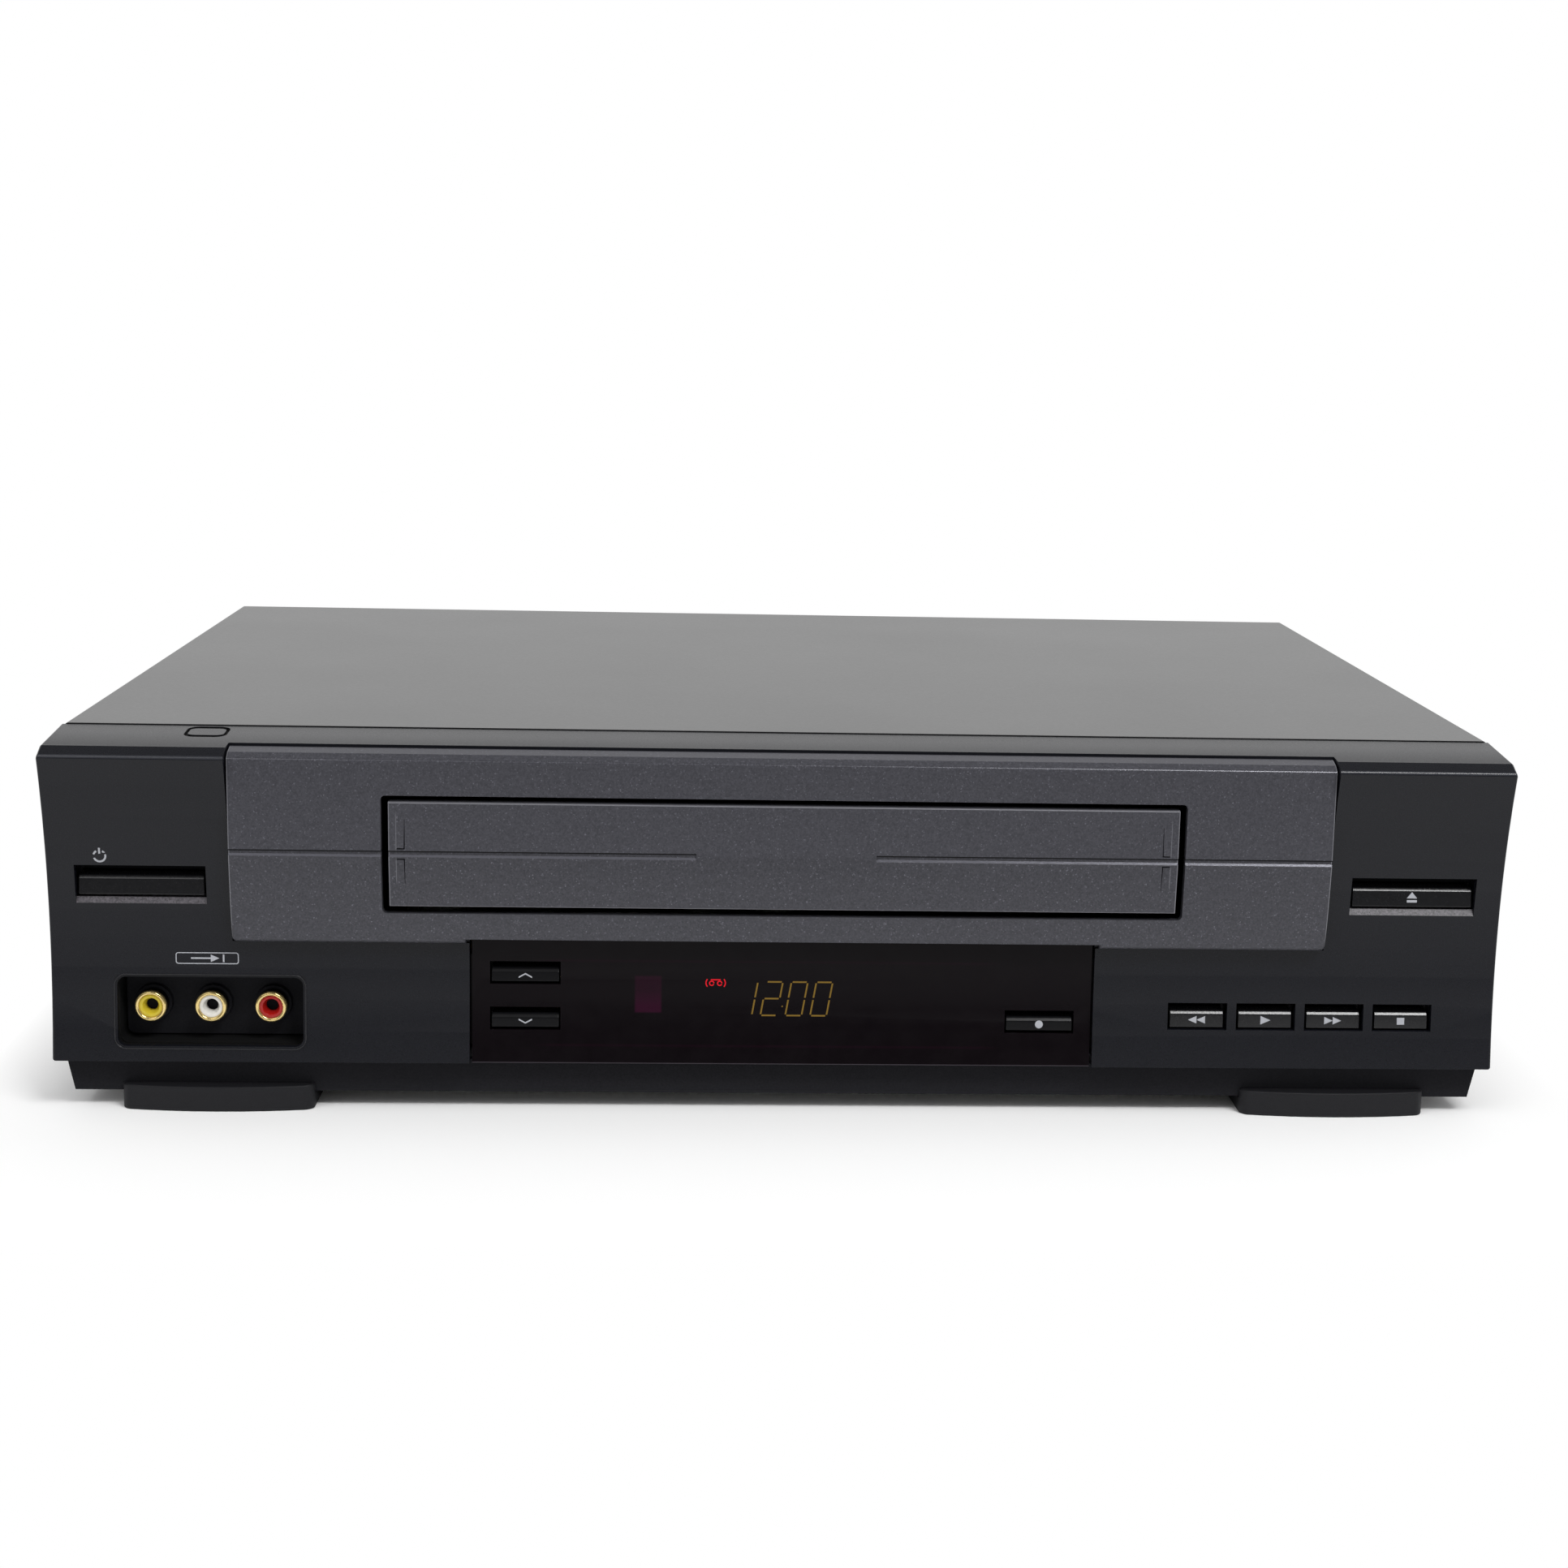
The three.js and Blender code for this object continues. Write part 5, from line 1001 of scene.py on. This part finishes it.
for side, kind in ((-1, "cover_screw_left"), (1, "cover_screw_right")):
    screwed(kind, [
        (side * cover_high[0], cover_low[1] + share * (cover_high[1] - cover_low[1]), 24 * mm)
        for share in (0.22, 0.82)], (side, 0, 0), 0.85 * mm)

# Circuit boards: brown phenolic laminate, punched to size and drilled. One stands behind the front and
# the others lie above the bottom plate.

laminate = Finish("phenolic_laminate", 0x8a6a3a, 0.55)
laminate.grained(laminate.noise(1.2, 3, laminate.stretched(1, 0.15, 1)), 0.78, 1.15, 0.03, 0.3)
for name in ("front_board", "main_board", "power_board"):
    dressed(name, laminate, 0.1, 1)

# Display tube, transformer, capacitor and heat sink: bought-in parts that stand on the boards, made of
# glass, wound copper wire, black sleeving and bright extruded aluminium.

tube_glass = Finish("display_glass", 0x1d2524, 0.1)
tube_glass.shaded(tube_glass.noise(3), 0.85, 1.15)
dressed("display_tube", tube_glass, 0.4)
wire_pitch = 0.7 * mm
copper = Finish("wound_copper", 0x9a5a2c, 0.45, 0.6)
wires = copper.axis("Z") * (2 * math.pi / wire_pitch)
copper.grained(wires.maths("SINE", wires), 0.6, 1.15, 0.1, 0.5)
dressed("transformer", copper, 0.5)
moulded_black = Finish("moulded_black", 0x161618, 0.45)
moulded_black.grained(moulded_black.noise(0.6, 3), 0.8, 1.25, 0.04, 0.4)
dressed("main_capacitor", moulded_black, 0.4)
aluminium = Finish("bright_aluminium", 0xb9bcc0, 0.28, 1.0)
lathe = aluminium.noise(0.3, vector=aluminium.stretched(0.05, 0.05, 1))
aluminium.shaded(lathe, 0.85, 1.05)
aluminium.set("Roughness", aluminium.spread(lathe, 0.2, 0.36))
dressed("heat_sink", aluminium, 0.15, 1)

# Rear sockets and cord bush: a black moulded block with six barrels, each in a gold-plated sleeve with a
# coloured ring for its signal, and a plated can whose two aerial sockets have a threaded neck.

dressed("rear_jack_block", moulded_black, 0.2)
dressed("tuner_box", zinc, 0.3)
dressed("cord_bush", moulded_black, 0.5, 3)
outside = rear_face + 0.05 * mm
barrel_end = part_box("rear_jack_block")[1][1]
reach = (barrel_end - outside) / mm
sleeve_outline = [(4.35, 0), (4.75, 0), (4.75, reach), (4.6, reach + 0.4), (3.7, reach + 0.4),
                  (3.6, reach + 0.1), (4.35, reach + 0.05)]
ring_outline = [(1.75, 0.05), (3.55, 0.05), (3.55, 0.3), (2.2, 0.3)]
block_middle_x, block_half = (jacks_low[0] + jacks_high[0]) / 2, (jacks_high[0] - jacks_low[0]) / 2
column_share, lowest_row, row_pitch = 0.45313, 23.5 * mm, 14.5 * mm
for row, hue in enumerate(("red", "white", "yellow")):
    for column, way in ((-1, "in"), (1, "out")):
        x, z = block_middle_x + column * block_half * column_share, lowest_row + row * row_pitch
        sleeve = turned(f"rear_{hue}_{way}_sleeve", sleeve_outline, (x, outside, z))
        added(rounded(sleeve, 0.12 * mm), gold)
        ring = turned(f"rear_{hue}_{way}_ring", ring_outline, (x, barrel_end, z))
        added(rounded(ring, 0.06 * mm, 1), insert_plastics[hue])
thread_pitch, thread_count, thread_start, thread_end = 0.8, 9, 3.2, 10.4
thread_bore, thread_root, thread_crest = 4.2, 4.62, 4.92
thread_outline = [(thread_bore, thread_start)]
for turn in range(thread_count):
    start = thread_start + turn * thread_pitch
    thread_outline += [(thread_root, start), (thread_crest, start + thread_pitch / 2)]
thread_outline += [(thread_root, thread_end), (thread_bore, thread_end)]
for column, way in ((-1, "in"), (1, "out")):
    x = (tuner_low[0] + tuner_high[0]) / 2 + column * (tuner_high[0] - tuner_low[0]) / 4
    neck = smoothed(turned("aerial_thread_" + way, thread_outline, (x, outside, 46 * mm)), 20)
    added(neck, aluminium)

# Deck and carriage: pressed zinc-plated steel, turned aluminium drums and guides, acetal gears, black
# moulded reels, and ground rubber on the belt and the pinch roller. The deck carries all of them.

acetal = Finish("natural_acetal", 0xdcdad2, 0.45)
acetal.grained(acetal.noise(4, 3), 0.9, 1.04, 0.03, 0.3)
tyre = Finish("ground_rubber", 0x1b1b1d, 0.78)
tyre.grained(tyre.noise(0.3), 0.75, 1.3, 0.04, 0.5)
for finish, slot, edge, segments, names in (
        (zinc, "zinc_steel", 0.15, 1, (
            "deck_chassis", "capstan_motor", "loading_motor", "idler_arm", "pinch_arm", "tension_arm",
            "lift_slider", "cassette_holder")),
        (aluminium, "bright_aluminium", 0.15, 2, (
            "capstan_rotor", "lower_drum", "upper_drum", "supply_guide", "takeup_guide", "erase_head",
            "audio_head")),
        (acetal, "natural_plastic", 0.15, 1, ("clutch_pulley", "reel_idler", "cam_gear")),
        (moulded_black, "black_plastic", 0.15, 1, ("supply_reel", "takeup_reel")),
        (tyre, "foot_rubber", 0.1, 1, ("reel_belt", "pinch_roller"))):
    for name in names:
        dressed(name, finish, edge, segments)

# Studio: a white floor that runs out to a white background, a bright soft light above the front at the
# right, a weaker one at the left, and the camera where the photograph was taken from.

only()
bpy.ops.mesh.primitive_plane_add(size=1)
floor = bpy.context.active_object
floor.name = "studio_floor"
floor_front, floor_back, floor_side = -0.33, 4.0, 4.0
for corner in floor.data.vertices:
    corner.co = (math.copysign(floor_side, corner.co.x), floor_back if corner.co.y > 0 else floor_front, 0)
paper = Finish("floor_paper", 0xffffff, 0.9, shine=0.0)
out_from_middle = paper.node("ShaderNodeVectorMath", {"operation": "LENGTH"}, {0: paper.place},
                                   "Value")
across = paper.axis("X")
far = paper.between(out_from_middle, 0.2, 0.5).at_least(
    paper.between(paper.axis("Y"), -0.15, floor_front + 0.09)).at_least(
    paper.between(across.maths("ABSOLUTE", across), 0.188, 0.218))
glow = paper.node("ShaderNodeEmission", {}, {"Color": (1, 1, 1, 1), "Strength": 1.0})
paper.shows(paper.mixed(far, paper.shader, glow))
floor.data.materials.append(paper.material)


def soft_light(name, heading, height, distance, size, power):
    """A soft light, so many degrees right of the front and above the floor, aimed at the object."""
    turn, rise = math.radians(heading), math.radians(height)
    place = distance * Vector((
        math.sin(turn) * math.cos(rise), -math.cos(turn) * math.cos(rise), math.sin(rise)))
    bpy.ops.object.light_add(type="AREA", location=place)
    lamp = bpy.context.active_object
    lamp.name = name
    lamp.data.shape = "RECTANGLE"
    lamp.data.size, lamp.data.size_y = size
    lamp.data.energy = power
    lamp.rotation_euler = (-place).to_track_quat("-Z", "Y").to_euler()


soft_light("key_light", 32, 50, 2.1, (0.78, 0.5), 22)
soft_light("left_fill", -40, 45, 2.3, (1.4, 1.0), 9)

world = bpy.data.worlds.new("studio")
bpy.context.scene.world = world
room = Pattern(world, "Generated", "ShaderNodeOutputWorld")


def white_light(strength):
    return room.node("ShaderNodeBackground", {}, {"Color": (1, 1, 1, 1), "Strength": strength})


def rays(kind):
    return room.node("ShaderNodeLightPath", {}, {}, kind)


# Mirrored light: white behind the object up to the top of the backdrop, dim above that and in front
backdrop = room.between(room.axis("Y"), -0.3, 0.25) * room.between(room.axis("Z"), 0.5, 0.86, 1, 0)
mirrored = white_light(room.between(backdrop, 0, 1, 0.09, 1))
with_mirror = room.mixed(rays("Is Glossy Ray"), white_light(0.55), mirrored)
seen = rays("Is Camera Ray").at_least(rays("Is Transmission Ray"))
room.shows(room.mixed(seen, with_mirror, white_light(1.0)))

yaw, pitch, roll = math.radians(3.2130), math.radians(10.6559), math.radians(1.2952)
camera_place = (-0.019795, -0.794070, 0.213043)
forward = Vector((math.sin(yaw) * math.cos(pitch), math.cos(yaw) * math.cos(pitch), -math.sin(pitch)))
level = Vector((math.cos(yaw), -math.sin(yaw), 0))
upward = level.cross(forward)
right = math.cos(roll) * level + math.sin(roll) * upward
up = -math.sin(roll) * level + math.cos(roll) * upward
bpy.ops.object.camera_add()
camera = bpy.context.active_object
camera.matrix_world = Matrix.Translation(camera_place) @ Matrix((right, up, -forward)).transposed().to_4x4()
camera.data.sensor_width = 36
camera.data.lens = 59.206
camera.data.shift_x = -0.04412
bpy.context.scene.camera = camera
bpy.context.scene.view_settings.view_transform = "Standard"
